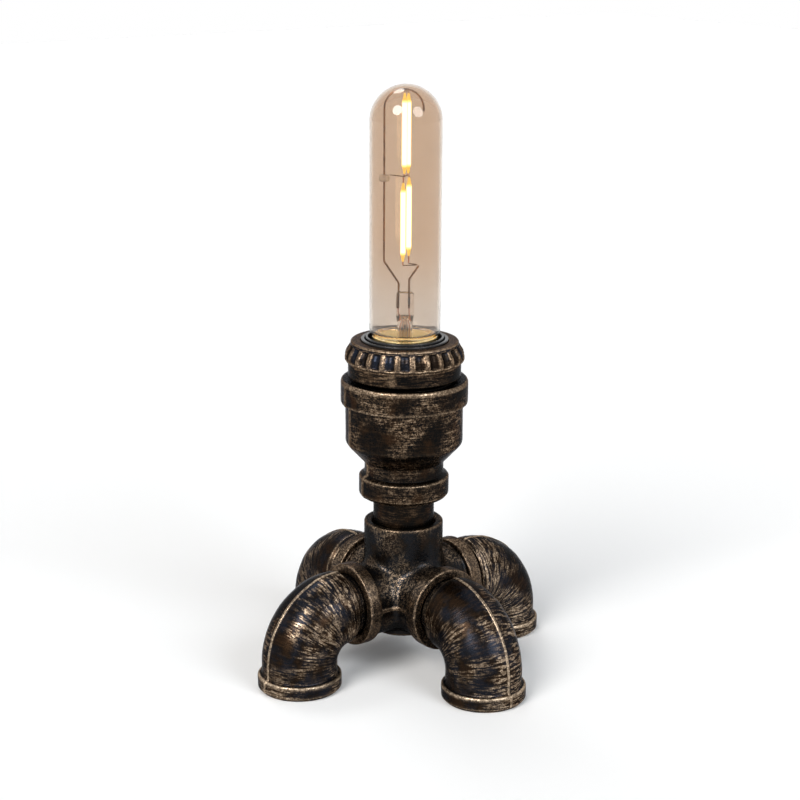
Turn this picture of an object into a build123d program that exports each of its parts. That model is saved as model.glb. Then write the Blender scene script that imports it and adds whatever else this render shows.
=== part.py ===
"""Pipe-fitting table lamp: a cross on four street elbows, a nipple, a bell reducer, a screw-cup
lampholder and a tubular lamp bulb.

Millimetres, +Z up. The origin is on the table, under the lamp's upright axis. The legs lie along
the X and Y axes. Threads are plain cylinders with a running clearance.
"""
import os
from math import cos, hypot, radians, sin

from build123d import *

os.makedirs("parts", exist_ok=True)

# ---------------------------------------------------------------- fits
thread_gap = 0.06        # radial, between a male thread and the socket it is screwed into
slide_gap = 0.05         # radial, round pieces that slide or turn in a hole
rest_gap = 0.1           # between faces that are clamped or seated on each other
cap_gap = 0.08           # radial, bulb's cap in the lampholder's shell
contact_gap = 0.3        # between the sprung contact and the bulb above it
weld_gap = 0.04          # between wires that are welded or sealed in glass
flange_gap = 0.56        # radial, insulating core's flange inside the ring's thread
opening_gap = 0.25       # radial, insulating core inside the ring's opening
cement_gap = 0.35        # radial, bulb's neck in its cap
floor_gap = 0.8          # under the terminal screws, and under the bulb's driver board
thread_runout = 0.2      # thread cut deeper than the piece screwed in

# ---------------------------------------------------------------- 3/4 inch pipe and its fittings
pipe_radius = 13.1       # male thread of elbows and nipple
pipe_wall = 2.7
male_chamfer = 0.8
socket_depth = 14.0      # female thread, measured from the socket's face
mouth_chamfer = 1.2
casting_step = 1.1       # ledge at the bottom of a socket
seam_height = 0.4        # raised parting line left by the mould
seam_width = 1.0
band_step = 0.4          # soft edge at a raised band

# five-way cross
arm_wall = 2.5
arm_length = 30.5        # lamp axis to the face of a side socket
arm_band_rise = 2.2
arm_band_width = 6.0
arm_band_edge = 0.9
outlet_wall = 3.95
outlet_rise = 32.8       # arms' axis to the top face
outlet_bevel = 1.3
casting_fillet = 4.0
base_boss_radius = 12.5
base_boss_rise = 1.5     # below the arms
base_boss_draft = 8.0
base_wall = 2.3
base_pocket_radius = 9.0

# street elbows
elbow_wall = 2.9
elbow_bend = 19.4
elbow_drop = 31.0        # arms' axis to the foot's face
elbow_entry = 9.5        # male end inside the cross
elbow_run = 2.4          # shoulder to the start of the bend
shoulder_gap = 3.0       # bare thread between the cross and the elbow's shoulder
shoulder_rise = 1.7
shoulder_bevel = 0.5
foot_band_rise = 1.85
foot_band_height = 6.5
foot_socket_depth = 12.0
foot_edge = 1.2
foot_cove = 0.9

# nipple
nipple_entry = 12.0      # thread inside each fitting
nipple_show = 11.3       # bare thread between the fittings

# ---------------------------------------------------------------- bell reducer
reducer_band_rise = 6.2  # over the pipe's radius
reducer_band_height = 9.2
reducer_band_edge = 1.4
reducer_band_slope = 1.0
reducer_neck_wall = 3.85
reducer_neck_height = 5.2
reducer_cove = 2.5
bell_taper_height = 8.6
bell_wall = 3.99
bell_floor = 4.9         # straight bell below its thread
bell_band_rise = 2.15
bell_band_height = 10.4
bell_band_cove = 0.8
bell_rim_round = 2.8
bell_mouth_widening = 2.8

# ---------------------------------------------------------------- lampholder
cup_thread_step = 7.8     # cup's thread outside the thread of the bulb's cap
cup_wall = 2.4
cup_floor = 2.5
cup_skirt_overhang = 3.0
cup_skirt_height = 6.4
cup_skirt_lift = 1.0     # skirt's underside above the reducer's rim
cup_collar_step = 0.4
cup_collar_height = 5.8
cup_edge = 0.5

ring_wall = 3.94
ring_foot_bevel = 0.8
ring_foot_height = 1.2
ring_belly_height = 2.8
ring_taper = 2.5         # top radius less than the belly
ring_shoulder = 0.3      # how far the arc's middle stands out, as a share of the taper
ring_top_straight = 1.7
ring_top_bevel = 0.6
ring_lip = 1.75
flute_count = 24
flute_radius = 2.5
flute_foot_depth = 1.6
flute_head_depth = 0.9
flute_length = 5.9
flute_lip = 1.2          # plain band below the scallops

core_flange = 1.35       # insulating core, clamped under the ring
core_rim_height = 2.7    # outer rim above the flange
core_rim_wall = 1.5
core_rim_edge = 0.3
core_groove = 0.5
core_inner_rim_height = 3.5
core_inner_rim_wall = 0.9
core_mouth_depth = 4.6
core_skirt_wall = 2.9
core_floor = 5.6
core_underside = 2.0     # recess that holds the straps
core_pocket_radius = 4.2

shell_wall = 0.4
shell_lip = 1.7

pin_radius = 1.5
pin_head_radius = 3.3
pin_head = 1.5
pin_head_edge = 0.5
pin_collar_radius = 2.5
pin_collar = 0.9
spring_height = 2.6
spring_wire_radius = 0.25
spring_radius = 2.2
spring_turns = 2.0

strap_width = 5.0
strap_thickness = 0.8
strap_riser_inset = 0.78 # upright end of the shell's strap, inside the shell's outer face
terminal_inset = 2.7     # terminal screw to the strap's upright end
terminal_size = 5.4
terminal_height = 4.2
terminal_wire_radius = 1.2
terminal_screw_radius = 1.4
terminal_screw_entry = 2.4
terminal_head_radius = 2.3
terminal_head = 1.4
screw_slot_width = 0.6

cable_hole_radius = 5.0
bush_wall = 1.6
bush_overlap = 1.3       # flange beyond the hole
bush_flange = 1.3
bush_bevel = 0.4

earth_screw_offset = 12.0
earth_screw_radius = 1.9
earth_head_radius = 3.4
earth_head = 2.2
earth_washer_radius = 4.2
earth_washer = 0.8
earth_tail = 2.0

# ---------------------------------------------------------------- tubular bulb, E27 cap
bulb_length = 130.2
bulb_recess = 0.4        # cap's contact above the shell's seat
bulb_rest_angle = -38.0  # way the filaments face with the bulb screwed home
glass_overhang = 1.8     # tube outside the thread of the bulb's cap
glass_wall = 0.9
glass_heel = 2.5         # rounding where the tube narrows into the cap
glass_neck_length = 12.0
cap_height = 25.1
cap_stand = 4.9          # cap's rim above the underside of the core's flange
cap_thread_radius = 13.2
cap_wall = 0.35
cap_foot_bevel = 0.8
cap_foot_lip = 1.4
cap_rim_flare = 0.5
cap_rim_height = 3.2
cap_rim_band = 0.4
cap_contact_radius = 4.7
cap_contact_bevel = 0.5
cap_contact = 1.0
insulator_height = 5.4   # cap's contact to the shell's foot, with the overlap inside the shell
insulator_overlap = 1.0
insulator_foot_radius = 6.0
insulator_hole_radius = 1.0
insulator_wall = 2.0

stem_radius = 3.2
stem_wall = 0.7
stem_flare = 1.0
stem_flare_rise = 4.0
pinch_width = 7.6
pinch_thickness = 3.4
pinch_height = 10.0
pinch_top = 44.0         # heights in the bulb are above the cap's contact
seal_depth = 7.0         # support wires in the pinch
exhaust_radius = 1.5
exhaust_wall = 0.5
exhaust_tail = 1.0       # below the stem's flare

wire_radius = 0.42
lead_radius = 0.22
lead_bend = 0.8
bridge_radius = 0.2
bridge_bend = 0.5
knee_bend = 2.0
long_wire_foot_x = -2.7
long_wire_x = -9.0
long_wire_y = 3.0
long_wire_knee_rise = 3.8      # above the pinch
long_wire_elbow_rise = 12.4
arch_headroom = 2.3      # arch's top below the outside of the dome
arch_width = 16.2
arch_bend = 7.9
arch_drop = 9.2
short_wire_foot_x = 1.7
short_wire_x = 5.7
short_wire_knee_rise = 5.4
short_wire_rise = 11.2
bead_width = 4.6
bead_depth = 3.0
bead_round = 0.9
bead_below_bridge = 1.3
bridge_offset = 1.37     # centre bridge above the middle of the filaments' span
arch_gap = 0.25          # top bridge under the arch
filament_radius = 1.25
filament_spare = 1.43    # span from bridge to bridge less the coated rod
filament_places = {      # x, y in the bulb's own axes, and rise above the bridge wire below
    "filament_upper_front": (-0.6, -1.2, 1.0),
    "filament_upper_back": (1.0, 3.4, 0.6),
    "filament_lower_front": (-1.0, -1.2, 1.56),
    "filament_lower_back": (1.4, 3.4, 3.16),
}
end_lead_radius = 0.3
board_width = 11.0
board_thickness = 1.2
board_gap = 0.5          # under the exhaust tube

# ---------------------------------------------------------------- radii worked out from the sizes
pipe_bore_radius = pipe_radius - pipe_wall
socket_radius = pipe_radius + thread_gap
casting_bore_radius = pipe_radius - casting_step
arm_radius = pipe_radius + arm_wall
arm_band_radius = arm_radius + arm_band_rise
outlet_radius = pipe_radius + outlet_wall
elbow_radius = pipe_radius + elbow_wall
shoulder_radius = pipe_radius + shoulder_rise
foot_radius = elbow_radius + foot_band_rise
reducer_band_radius = pipe_radius + reducer_band_rise
reducer_neck_radius = pipe_radius + reducer_neck_wall
cup_thread_radius = cap_thread_radius + cup_thread_step
bell_bore_radius = cup_thread_radius + thread_gap
bell_radius = bell_bore_radius + bell_wall
bell_band_radius = bell_radius + bell_band_rise
cup_bore_radius = cup_thread_radius - cup_wall
cup_collar_radius = cup_thread_radius + cup_collar_step
cup_skirt_radius = cup_thread_radius + cup_skirt_overhang
ring_thread_radius = cup_collar_radius + thread_gap
ring_radius = ring_thread_radius + ring_wall
ring_top_radius = ring_radius - ring_taper
core_radius = cup_bore_radius - rest_gap
core_flange_radius = ring_thread_radius - flange_gap
core_rim_inner_radius = core_radius - core_rim_wall
core_inner_rim_radius = core_rim_inner_radius - core_groove
core_mouth_radius = core_inner_rim_radius - core_inner_rim_wall
core_recess_radius = core_radius - core_skirt_wall
ring_opening_radius = core_radius + opening_gap
shell_inner_radius = cap_thread_radius + cap_gap
shell_radius = shell_inner_radius + shell_wall
core_bore_radius = shell_radius + slide_gap
strap_riser_x = shell_radius - strap_riser_inset
terminal_offset = strap_riser_x - terminal_inset
bush_bore_radius = cable_hole_radius - bush_wall
bush_flange_radius = cable_hole_radius + bush_overlap
cap_inner_radius = cap_thread_radius - cap_wall
cap_rim_radius = cap_thread_radius + cap_rim_flare
insulator_radius = cap_inner_radius - cap_foot_lip - slide_gap
glass_radius = cap_thread_radius + glass_overhang
glass_neck_radius = cap_inner_radius - cement_gap
leg_reach = arm_length + shoulder_gap + elbow_run + elbow_bend

# ---------------------------------------------------------------- levels worked out from the sizes
base_underside = elbow_drop - arm_radius - base_boss_rise
cross_top = elbow_drop + outlet_rise
reducer_bottom = cross_top + nipple_show
neck_bottom = reducer_bottom + reducer_band_height + reducer_band_slope
neck_top = neck_bottom + reducer_neck_height
bell_bottom = neck_top + bell_taper_height
bell_thread_bottom = bell_bottom + bell_floor
cup_bottom = bell_thread_bottom + thread_runout
cup_floor_top = cup_bottom + cup_floor
terminal_head_top = cup_floor_top + floor_gap + terminal_head
terminal_bottom = terminal_head_top + rest_gap / 2
terminal_top = terminal_bottom + terminal_height
strap_bottom = terminal_top + rest_gap / 2
core_floor_bottom = strap_bottom + strap_thickness + rest_gap
core_bottom = core_floor_bottom - core_underside
shell_seat = core_floor_bottom + core_floor
shell_bottom = shell_seat + slide_gap
bulb_bottom = shell_seat + bulb_recess
bulb_top = bulb_bottom + bulb_length
cap_rim = bulb_bottom + cap_height
glass_foot = cap_rim - glass_neck_length
flange_bottom = cap_rim - cap_stand
flange_top = flange_bottom + core_flange
outer_rim_top = flange_top + core_rim_height
inner_rim_top = flange_top + core_inner_rim_height
mouth_floor = inner_rim_top - core_mouth_depth
collar_top = flange_bottom - rest_gap
skirt_top = collar_top - cup_collar_height
skirt_bottom = skirt_top - cup_skirt_height
reducer_top = skirt_bottom - cup_skirt_lift
ring_bottom = skirt_top + rest_gap
ring_lip_bottom = flange_top + rest_gap
ring_top = ring_lip_bottom + ring_lip
pin_top = bulb_bottom - contact_gap
pin_shoulder = pin_top - pin_head
pocket_floor = pin_shoulder - spring_height

# heights inside the bulb, above its cap's contact
pinch_bottom = pinch_top - pinch_height
seal_bottom = pinch_top - seal_depth
short_wire_top = pinch_top + short_wire_rise
lower_bridge = short_wire_top + bridge_radius + weld_gap
arch_top = bulb_length - arch_headroom
top_bridge = arch_top - wire_radius - arch_gap - bridge_radius
centre_bridge = (lower_bridge + top_bridge) / 2 + bridge_offset
filament_length = top_bridge - centre_bridge - filament_spare
bead_height = centre_bridge - bead_below_bridge
insulator_top = insulator_height + insulator_overlap
board_bottom = insulator_top + floor_gap
board_top = glass_foot - bulb_bottom - exhaust_tail - board_gap

up = Vector(0, 0, 1)
bulb_axes = Plane(
    origin=(0, 0, bulb_bottom),
    x_dir=(cos(radians(bulb_rest_angle)), sin(radians(bulb_rest_angle)), 0),
    z_dir=(0, 0, 1),
)


def turned(outline):
    """Piece turned about the lamp's upright axis, from its (radius, height) outline."""
    with BuildPart() as piece:
        with BuildSketch(Plane.XZ):
            with BuildLine():
                Polyline(*outline, close=True)
            make_face()
        revolve(axis=Axis.Z)
    return piece


def circles_at(piece, radius, height):
    """Circular edges that a turned piece has at one radius and height."""
    return [
        edge for edge in piece.edges().filter_by(GeomType.CIRCLE)
        if abs(edge.radius - radius) < 0.01 and abs(edge.arc_center.Z - height) < 0.01
    ]


# ================================================================ cross
def arm_collar(direction):
    """Side socket's raised band, turned about its arm."""
    upright = Plane(origin=(0, 0, elbow_drop), x_dir=direction, z_dir=direction.cross(up))
    band_start = arm_length - arm_band_width
    with BuildPart() as collar:
        with BuildSketch(upright):
            with BuildLine():
                Polyline(
                    (band_start - arm_band_edge, 0),
                    (band_start - arm_band_edge, arm_radius - band_step),
                    (band_start, arm_radius),
                    (band_start + band_step, arm_band_radius),
                    (arm_length - arm_band_edge, arm_band_radius),
                    (arm_length, arm_band_radius - arm_band_edge),
                    (arm_length, 0),
                    close=True,
                )
            make_face()
        revolve(axis=Axis((0, 0, elbow_drop), direction))
    return collar.part


side_directions = {
    "right": Vector(1, 0, 0),
    "back": Vector(0, 1, 0),
    "left": Vector(-1, 0, 0),
    "front": Vector(0, -1, 0),
}

with BuildPart() as cross:
    # arms, top outlet and base boss run together in one casting
    for plane in (Plane.YZ, Plane.XZ):
        with BuildSketch(plane):
            with Locations((0, elbow_drop)):
                Circle(arm_radius)
        extrude(amount=arm_length - arm_band_width, both=True)
    with BuildSketch(Plane.XY.offset(elbow_drop)):
        Circle(outlet_radius)
    extrude(amount=outlet_rise)
    valleys = cross.edges().filter_by(GeomType.BSPLINE) + cross.edges().filter_by(GeomType.ELLIPSE)
    fillet(valleys, radius=casting_fillet)
    top_rim = cross.edges().filter_by(GeomType.CIRCLE).group_by(Axis.Z)[-1]
    chamfer(top_rim, length=outlet_bevel)
    with BuildSketch(Plane.XY.offset(base_underside)):
        Circle(base_boss_radius)
    extrude(amount=elbow_drop - base_underside, taper=-base_boss_draft)
    for direction in side_directions.values():
        add(arm_collar(direction))
    # parting line round the arms and their bands
    with BuildSketch(Plane.XY.offset(elbow_drop - seam_width / 2)):
        Rectangle(2 * (arm_length - seam_width), 2 * (arm_radius + seam_height))
        Rectangle(2 * (arm_radius + seam_height), 2 * (arm_length - seam_width))
        inner_corners = [v for v in vertices() if hypot(v.X, v.Y) < 1.5 * arm_radius]
        fillet(inner_corners, radius=casting_fillet)
        with PolarLocations(arm_length - arm_band_width / 2, len(side_directions)):
            Rectangle(arm_band_width - 2 * arm_band_edge, 2 * (arm_band_radius + seam_height))
    extrude(amount=seam_width)
    # passages and sockets
    for plane in (Plane.YZ, Plane.XZ):
        with BuildSketch(plane):
            with Locations((0, elbow_drop)):
                Circle(casting_bore_radius)
        extrude(amount=arm_length, both=True, mode=Mode.SUBTRACT)
    with BuildSketch(Plane.XY.offset(elbow_drop)):
        Circle(casting_bore_radius)
    extrude(amount=outlet_rise, mode=Mode.SUBTRACT)
    for direction in list(side_directions.values()) + [up]:
        reach = outlet_rise if direction is up else arm_length
        socket_face = Plane(origin=Vector(0, 0, elbow_drop) + direction * reach, z_dir=direction)
        with BuildSketch(socket_face):
            Circle(socket_radius)
        extrude(amount=-socket_depth, mode=Mode.SUBTRACT)
        with BuildSketch(socket_face):
            Circle(socket_radius + mouth_chamfer)
        extrude(amount=-mouth_chamfer, taper=45, mode=Mode.SUBTRACT)
    # cable hole in the closed underside
    with BuildSketch(Plane.XY.offset(base_underside + base_wall)):
        Circle(base_pocket_radius)
    extrude(amount=casting_bore_radius, mode=Mode.SUBTRACT)
    with BuildSketch(Plane.XY.offset(base_underside)):
        Circle(cable_hole_radius + slide_gap)
    extrude(amount=base_wall, mode=Mode.SUBTRACT)

cross.part.label = "cross_fitting"
export_step(cross.part, "parts/cross_fitting.step")


# ================================================================ legs
def street_elbow(direction):
    """Male end in the cross, quarter bend, and a banded socket that stands on the table."""
    upright = Plane(origin=(0, 0, 0), x_dir=direction, z_dir=direction.cross(up))
    bend_start = leg_reach - elbow_bend
    bend_end = elbow_drop - elbow_bend
    shoulder = arm_length + shoulder_gap
    thread_end = arm_length - elbow_entry
    foot_face = Plane(origin=direction * leg_reach)
    with BuildPart() as elbow:
        # quarter bend
        with BuildLine(upright) as bend:
            RadiusArc((bend_start, elbow_drop), (leg_reach, bend_end), elbow_bend)
        bend_mouth = Plane(origin=bend.line @ 0, z_dir=bend.line % 0)
        with BuildSketch(bend_mouth):
            Circle(elbow_radius)
        sweep(path=bend.line)
        # male end and shoulder
        with BuildSketch(upright):
            with BuildLine():
                Polyline(
                    (thread_end, elbow_drop),
                    (thread_end, elbow_drop + pipe_radius - male_chamfer),
                    (thread_end + male_chamfer, elbow_drop + pipe_radius),
                    (shoulder, elbow_drop + pipe_radius),
                    (shoulder + shoulder_bevel, elbow_drop + shoulder_radius),
                    (bend_start, elbow_drop + elbow_radius),
                    (bend_start, elbow_drop),
                    close=True,
                )
            make_face()
        revolve(axis=Axis((0, 0, elbow_drop), direction))
        # foot collar
        with BuildSketch(upright):
            with BuildLine():
                Polyline(
                    (leg_reach, bend_end),
                    (leg_reach, 0),
                    (leg_reach + foot_radius - foot_edge, 0),
                    (leg_reach + foot_radius, foot_edge),
                    (leg_reach + foot_radius, foot_band_height - band_step),
                    (leg_reach + foot_radius - band_step, foot_band_height),
                    (leg_reach + elbow_radius + foot_cove, foot_band_height),
                )
                RadiusArc(
                    (leg_reach + elbow_radius + foot_cove, foot_band_height),
                    (leg_reach + elbow_radius, foot_band_height + foot_cove),
                    foot_cove,
                )
                Polyline(
                    (leg_reach + elbow_radius, foot_band_height + foot_cove),
                    (leg_reach + elbow_radius, bend_end),
                    (leg_reach, bend_end),
                )
            make_face()
        revolve(axis=Axis(direction * leg_reach, up))
        # parting line in the elbow's own plane
        seam_reach = elbow_radius + seam_height
        seam_start = shoulder + 2 * shoulder_bevel
        foot_seam = leg_reach + foot_radius + seam_height
        with BuildSketch(upright):
            with BuildLine():
                Polyline(
                    (seam_start, elbow_drop),
                    (seam_start, elbow_drop + shoulder_radius + seam_height),
                    (bend_start, elbow_drop + seam_reach),
                )
                RadiusArc(
                    (bend_start, elbow_drop + seam_reach),
                    (leg_reach + seam_reach, bend_end),
                    elbow_bend + seam_reach,
                )
                Polyline(
                    (leg_reach + seam_reach, bend_end),
                    (leg_reach + seam_reach, foot_band_height + band_step),
                    (foot_seam, foot_band_height - band_step),
                    (foot_seam, foot_edge + band_step),
                    (leg_reach + foot_radius - band_step, foot_edge + band_step),
                    (leg_reach, bend_end),
                    (bend_start + band_step, elbow_drop),
                    (seam_start, elbow_drop),
                )
            make_face()
        extrude(amount=seam_width / 2, both=True)
        # waterway
        with BuildSketch(bend_mouth):
            Circle(casting_bore_radius)
        sweep(path=bend.line, mode=Mode.SUBTRACT)
        with BuildSketch(Plane(origin=direction * bend_start + up * elbow_drop, z_dir=-direction)):
            Circle(pipe_bore_radius)
        extrude(amount=bend_start, mode=Mode.SUBTRACT)
        with BuildSketch(foot_face):
            Circle(casting_bore_radius)
        extrude(amount=bend_end, mode=Mode.SUBTRACT)
        with BuildSketch(foot_face):
            Circle(socket_radius)
        extrude(amount=foot_socket_depth, mode=Mode.SUBTRACT)
        with BuildSketch(foot_face):
            Circle(socket_radius + mouth_chamfer)
        extrude(amount=mouth_chamfer, taper=45, mode=Mode.SUBTRACT)
    return elbow


for side, direction in side_directions.items():
    leg = street_elbow(direction)
    leg.part.label = f"leg_elbow_{side}"
    export_step(leg.part, f"parts/leg_elbow_{side}.step")


# ================================================================ nipple and reducer
nipple_bottom = cross_top - nipple_entry
nipple_top = reducer_bottom + nipple_entry
nipple = turned([
    (pipe_bore_radius, nipple_bottom),
    (pipe_radius - male_chamfer, nipple_bottom),
    (pipe_radius, nipple_bottom + male_chamfer),
    (pipe_radius, nipple_top - male_chamfer),
    (pipe_radius - male_chamfer, nipple_top),
    (pipe_bore_radius, nipple_top),
])
nipple.part.label = "pipe_nipple"
export_step(nipple.part, "parts/pipe_nipple.step")

band_top = reducer_bottom + reducer_band_height
bell_band_bottom = reducer_top - bell_band_height
with BuildPart() as reducer:
    with BuildSketch(Plane.XZ):
        with BuildLine():
            Polyline(
                (0, reducer_bottom),
                (reducer_band_radius - reducer_band_edge, reducer_bottom),
                (reducer_band_radius, reducer_bottom + reducer_band_edge),
                (reducer_band_radius, band_top - band_step),
                (reducer_band_radius - band_step, band_top),
                (reducer_neck_radius, neck_bottom),
                (reducer_neck_radius, neck_top),
                (bell_radius, bell_bottom),
                (bell_radius, bell_band_bottom),
                (bell_band_radius - band_step, bell_band_bottom),
                (bell_band_radius, bell_band_bottom + band_step),
                (bell_band_radius, reducer_top),
                (0, reducer_top),
                close=True,
            )
        make_face()
    revolve(axis=Axis.Z)
    fillet(circles_at(reducer, bell_band_radius, reducer_top), radius=bell_rim_round)
    fillet(circles_at(reducer, bell_radius, bell_band_bottom), radius=bell_band_cove)
    fillet(circles_at(reducer, reducer_neck_radius, neck_top), radius=reducer_cove)
    fillet(circles_at(reducer, bell_radius, bell_bottom), radius=reducer_cove)
    # nipple's socket, waterway, and the bell's thread with its widened mouth
    with BuildSketch(Plane.XZ):
        with BuildLine():
            Polyline(
                (0, reducer_bottom),
                (socket_radius + mouth_chamfer, reducer_bottom),
                (socket_radius, reducer_bottom + mouth_chamfer),
                (socket_radius, reducer_bottom + socket_depth),
                (casting_bore_radius, reducer_bottom + socket_depth),
                (casting_bore_radius, neck_top),
                (bell_bore_radius - band_step, bell_bottom + mouth_chamfer),
                (bell_bore_radius, bell_thread_bottom),
                (bell_bore_radius, reducer_top - bell_mouth_widening),
                (bell_bore_radius + bell_mouth_widening, reducer_top),
                (0, reducer_top),
                close=True,
            )
        make_face()
    revolve(axis=Axis.Z, mode=Mode.SUBTRACT)
reducer.part.label = "reducer_coupling"
export_step(reducer.part, "parts/reducer_coupling.step")


# ================================================================ lampholder
with BuildPart() as cup:
    with BuildSketch(Plane.XZ):
        with BuildLine():
            Polyline(
                (cable_hole_radius + slide_gap, cup_bottom),
                (cup_thread_radius - male_chamfer, cup_bottom),
                (cup_thread_radius, cup_bottom + male_chamfer),
                (cup_thread_radius, skirt_bottom),
                (cup_skirt_radius - cup_edge, skirt_bottom),
                (cup_skirt_radius, skirt_bottom + cup_edge),
                (cup_skirt_radius, skirt_top - cup_edge),
                (cup_skirt_radius - cup_edge, skirt_top),
                (cup_collar_radius, skirt_top),
                (cup_collar_radius, collar_top),
                (cup_bore_radius, collar_top),
                (cup_bore_radius, cup_floor_top),
                (cable_hole_radius + slide_gap, cup_floor_top),
                close=True,
            )
        make_face()
    revolve(axis=Axis.Z)
    # tapped hole for the earth screw
    with Locations((0, earth_screw_offset, cup_floor_top)):
        Hole(radius=earth_screw_radius + slide_gap, depth=cup_floor)
cup.part.label = "holder_cup"
export_step(cup.part, "parts/holder_cup.step")

# fluted ring, screwed on the cup's collar
flute_foot = Vector(ring_radius - flute_foot_depth + flute_radius, 0, ring_bottom + flute_lip)
flute_head = Vector(ring_top_radius - flute_head_depth + flute_radius, 0, ring_top)
flute_direction = (flute_head - flute_foot).normalized()
with BuildPart() as flute:
    with BuildSketch(Plane(origin=flute_foot, z_dir=flute_direction)):
        Circle(flute_radius)
    extrude(amount=flute_length)
    flute_ends = flute.edges().filter_by(GeomType.CIRCLE)
    chamfer(flute_ends, length=flute_head_depth)

arc_start = (ring_radius, ring_bottom + ring_belly_height)
arc_middle = (
    ring_top_radius + ring_shoulder * ring_taper,
    (ring_bottom + ring_belly_height + ring_top - ring_top_straight) / 2,
)
arc_end = (ring_top_radius, ring_top - ring_top_straight)
with BuildPart() as ring:
    with BuildSketch(Plane.XZ):
        with BuildLine():
            Polyline(
                (ring_thread_radius, ring_bottom),
                (ring_radius - ring_foot_bevel, ring_bottom),
                (ring_radius, ring_bottom + ring_foot_height),
                arc_start,
            )
            ThreePointArc(arc_start, arc_middle, arc_end)
            Polyline(
                arc_end,
                (ring_top_radius, ring_top - ring_top_bevel),
                (ring_top_radius - ring_top_bevel, ring_top),
                (ring_opening_radius, ring_top),
                (ring_opening_radius, ring_lip_bottom),
                (ring_thread_radius, ring_lip_bottom),
                (ring_thread_radius, ring_bottom),
            )
        make_face()
    revolve(axis=Axis.Z)
    with PolarLocations(0, flute_count, start_angle=180 / flute_count):
        add(flute.part, mode=Mode.SUBTRACT)
ring.part.label = "fluted_ring"
export_step(ring.part, "parts/fluted_ring.step")

# insulating core: rims round the mouth, bore for the shell, floor with the contact's pocket
with BuildPart() as core:
    with BuildSketch(Plane.XZ):
        with BuildLine():
            Polyline(
                (core_recess_radius, core_bottom),
                (core_radius, core_bottom),
                (core_radius, flange_bottom),
                (core_flange_radius, flange_bottom),
                (core_flange_radius, flange_top),
                (core_radius, flange_top),
                (core_radius, outer_rim_top - core_rim_edge),
                (core_radius - core_rim_edge, outer_rim_top),
                (core_rim_inner_radius, outer_rim_top),
                (core_rim_inner_radius, flange_top),
                (core_inner_rim_radius, flange_top),
                (core_inner_rim_radius, inner_rim_top - core_rim_edge),
                (core_inner_rim_radius - core_rim_edge, inner_rim_top),
                (core_mouth_radius, inner_rim_top),
                (core_mouth_radius, mouth_floor),
                (core_bore_radius, mouth_floor),
                (core_bore_radius, shell_seat),
                (core_pocket_radius, shell_seat),
                (core_pocket_radius, pocket_floor),
                (pin_radius + slide_gap, pocket_floor),
                (pin_radius + slide_gap, core_floor_bottom),
                (core_recess_radius, core_floor_bottom),
                close=True,
            )
        make_face()
    revolve(axis=Axis.Z)
    # slot for the shell strap's riser, and blind holes for the terminal screws
    with BuildSketch(Plane.XY.offset(core_floor_bottom)):
        with Locations((-strap_riser_x, 0)):
            Rectangle(strap_thickness + 2 * rest_gap, strap_width + 2 * rest_gap)
    extrude(amount=core_floor, mode=Mode.SUBTRACT)
    with BuildSketch(Plane.XY.offset(core_floor_bottom)):
        with Locations((-terminal_offset, 0), (terminal_offset, 0)):
            Circle(terminal_screw_radius + slide_gap)
    extrude(amount=terminal_screw_entry + rest_gap, mode=Mode.SUBTRACT)
core.part.label = "insulating_core"
export_step(core.part, "parts/insulating_core.step")

shell_top = mouth_floor - rest_gap
screw_shell = turned([
    (shell_inner_radius - shell_lip, shell_bottom),
    (shell_radius, shell_bottom),
    (shell_radius, shell_top),
    (shell_inner_radius, shell_top),
    (shell_inner_radius, shell_bottom + shell_wall),
    (shell_inner_radius - shell_lip, shell_bottom + shell_wall),
])
screw_shell.part.label = "screw_shell"
export_step(screw_shell.part, "parts/screw_shell.step")

# sprung centre contact: head above the spring, collar under the live strap
pin_collar_top = strap_bottom - rest_gap
pin_bottom = pin_collar_top - pin_collar
contact_pin = turned([
    (0, pin_bottom),
    (pin_collar_radius, pin_bottom),
    (pin_collar_radius, pin_collar_top),
    (pin_radius, pin_collar_top),
    (pin_radius, pin_shoulder),
    (pin_head_radius, pin_shoulder),
    (pin_head_radius, pin_top - pin_head_edge),
    (pin_head_radius - pin_head_edge, pin_top),
    (0, pin_top),
])
contact_pin.part.label = "centre_contact_pin"
export_step(contact_pin.part, "parts/centre_contact_pin.step")

spring_inset = spring_wire_radius + slide_gap
spring_rise = spring_height - 2 * spring_inset
with BuildPart() as spring:
    with BuildLine(Plane.XY.offset(pocket_floor + spring_inset)) as coil:
        Helix(pitch=spring_rise / spring_turns, height=spring_rise, radius=spring_radius)
    with BuildSketch(Plane(origin=coil.line @ 0, z_dir=coil.line % 0)):
        Circle(spring_wire_radius)
    sweep(path=coil.line, is_frenet=True)
spring.part.label = "contact_spring"
export_step(spring.part, "parts/contact_spring.step")

# straps from the contacts to the terminals
strap_end = terminal_offset + terminal_size / 2
with BuildPart() as live_strap:
    with BuildSketch(Plane.XY.offset(strap_bottom)):
        with Locations(((strap_end - strap_width / 2) / 2, 0)):
            SlotOverall(strap_end + strap_width / 2, strap_width)
        Circle(pin_radius + slide_gap, mode=Mode.SUBTRACT)
        with Locations((terminal_offset, 0)):
            Circle(terminal_screw_radius + slide_gap, mode=Mode.SUBTRACT)
    extrude(amount=strap_thickness)
live_strap.part.label = "live_strap"
export_step(live_strap.part, "parts/live_strap.step")

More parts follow.
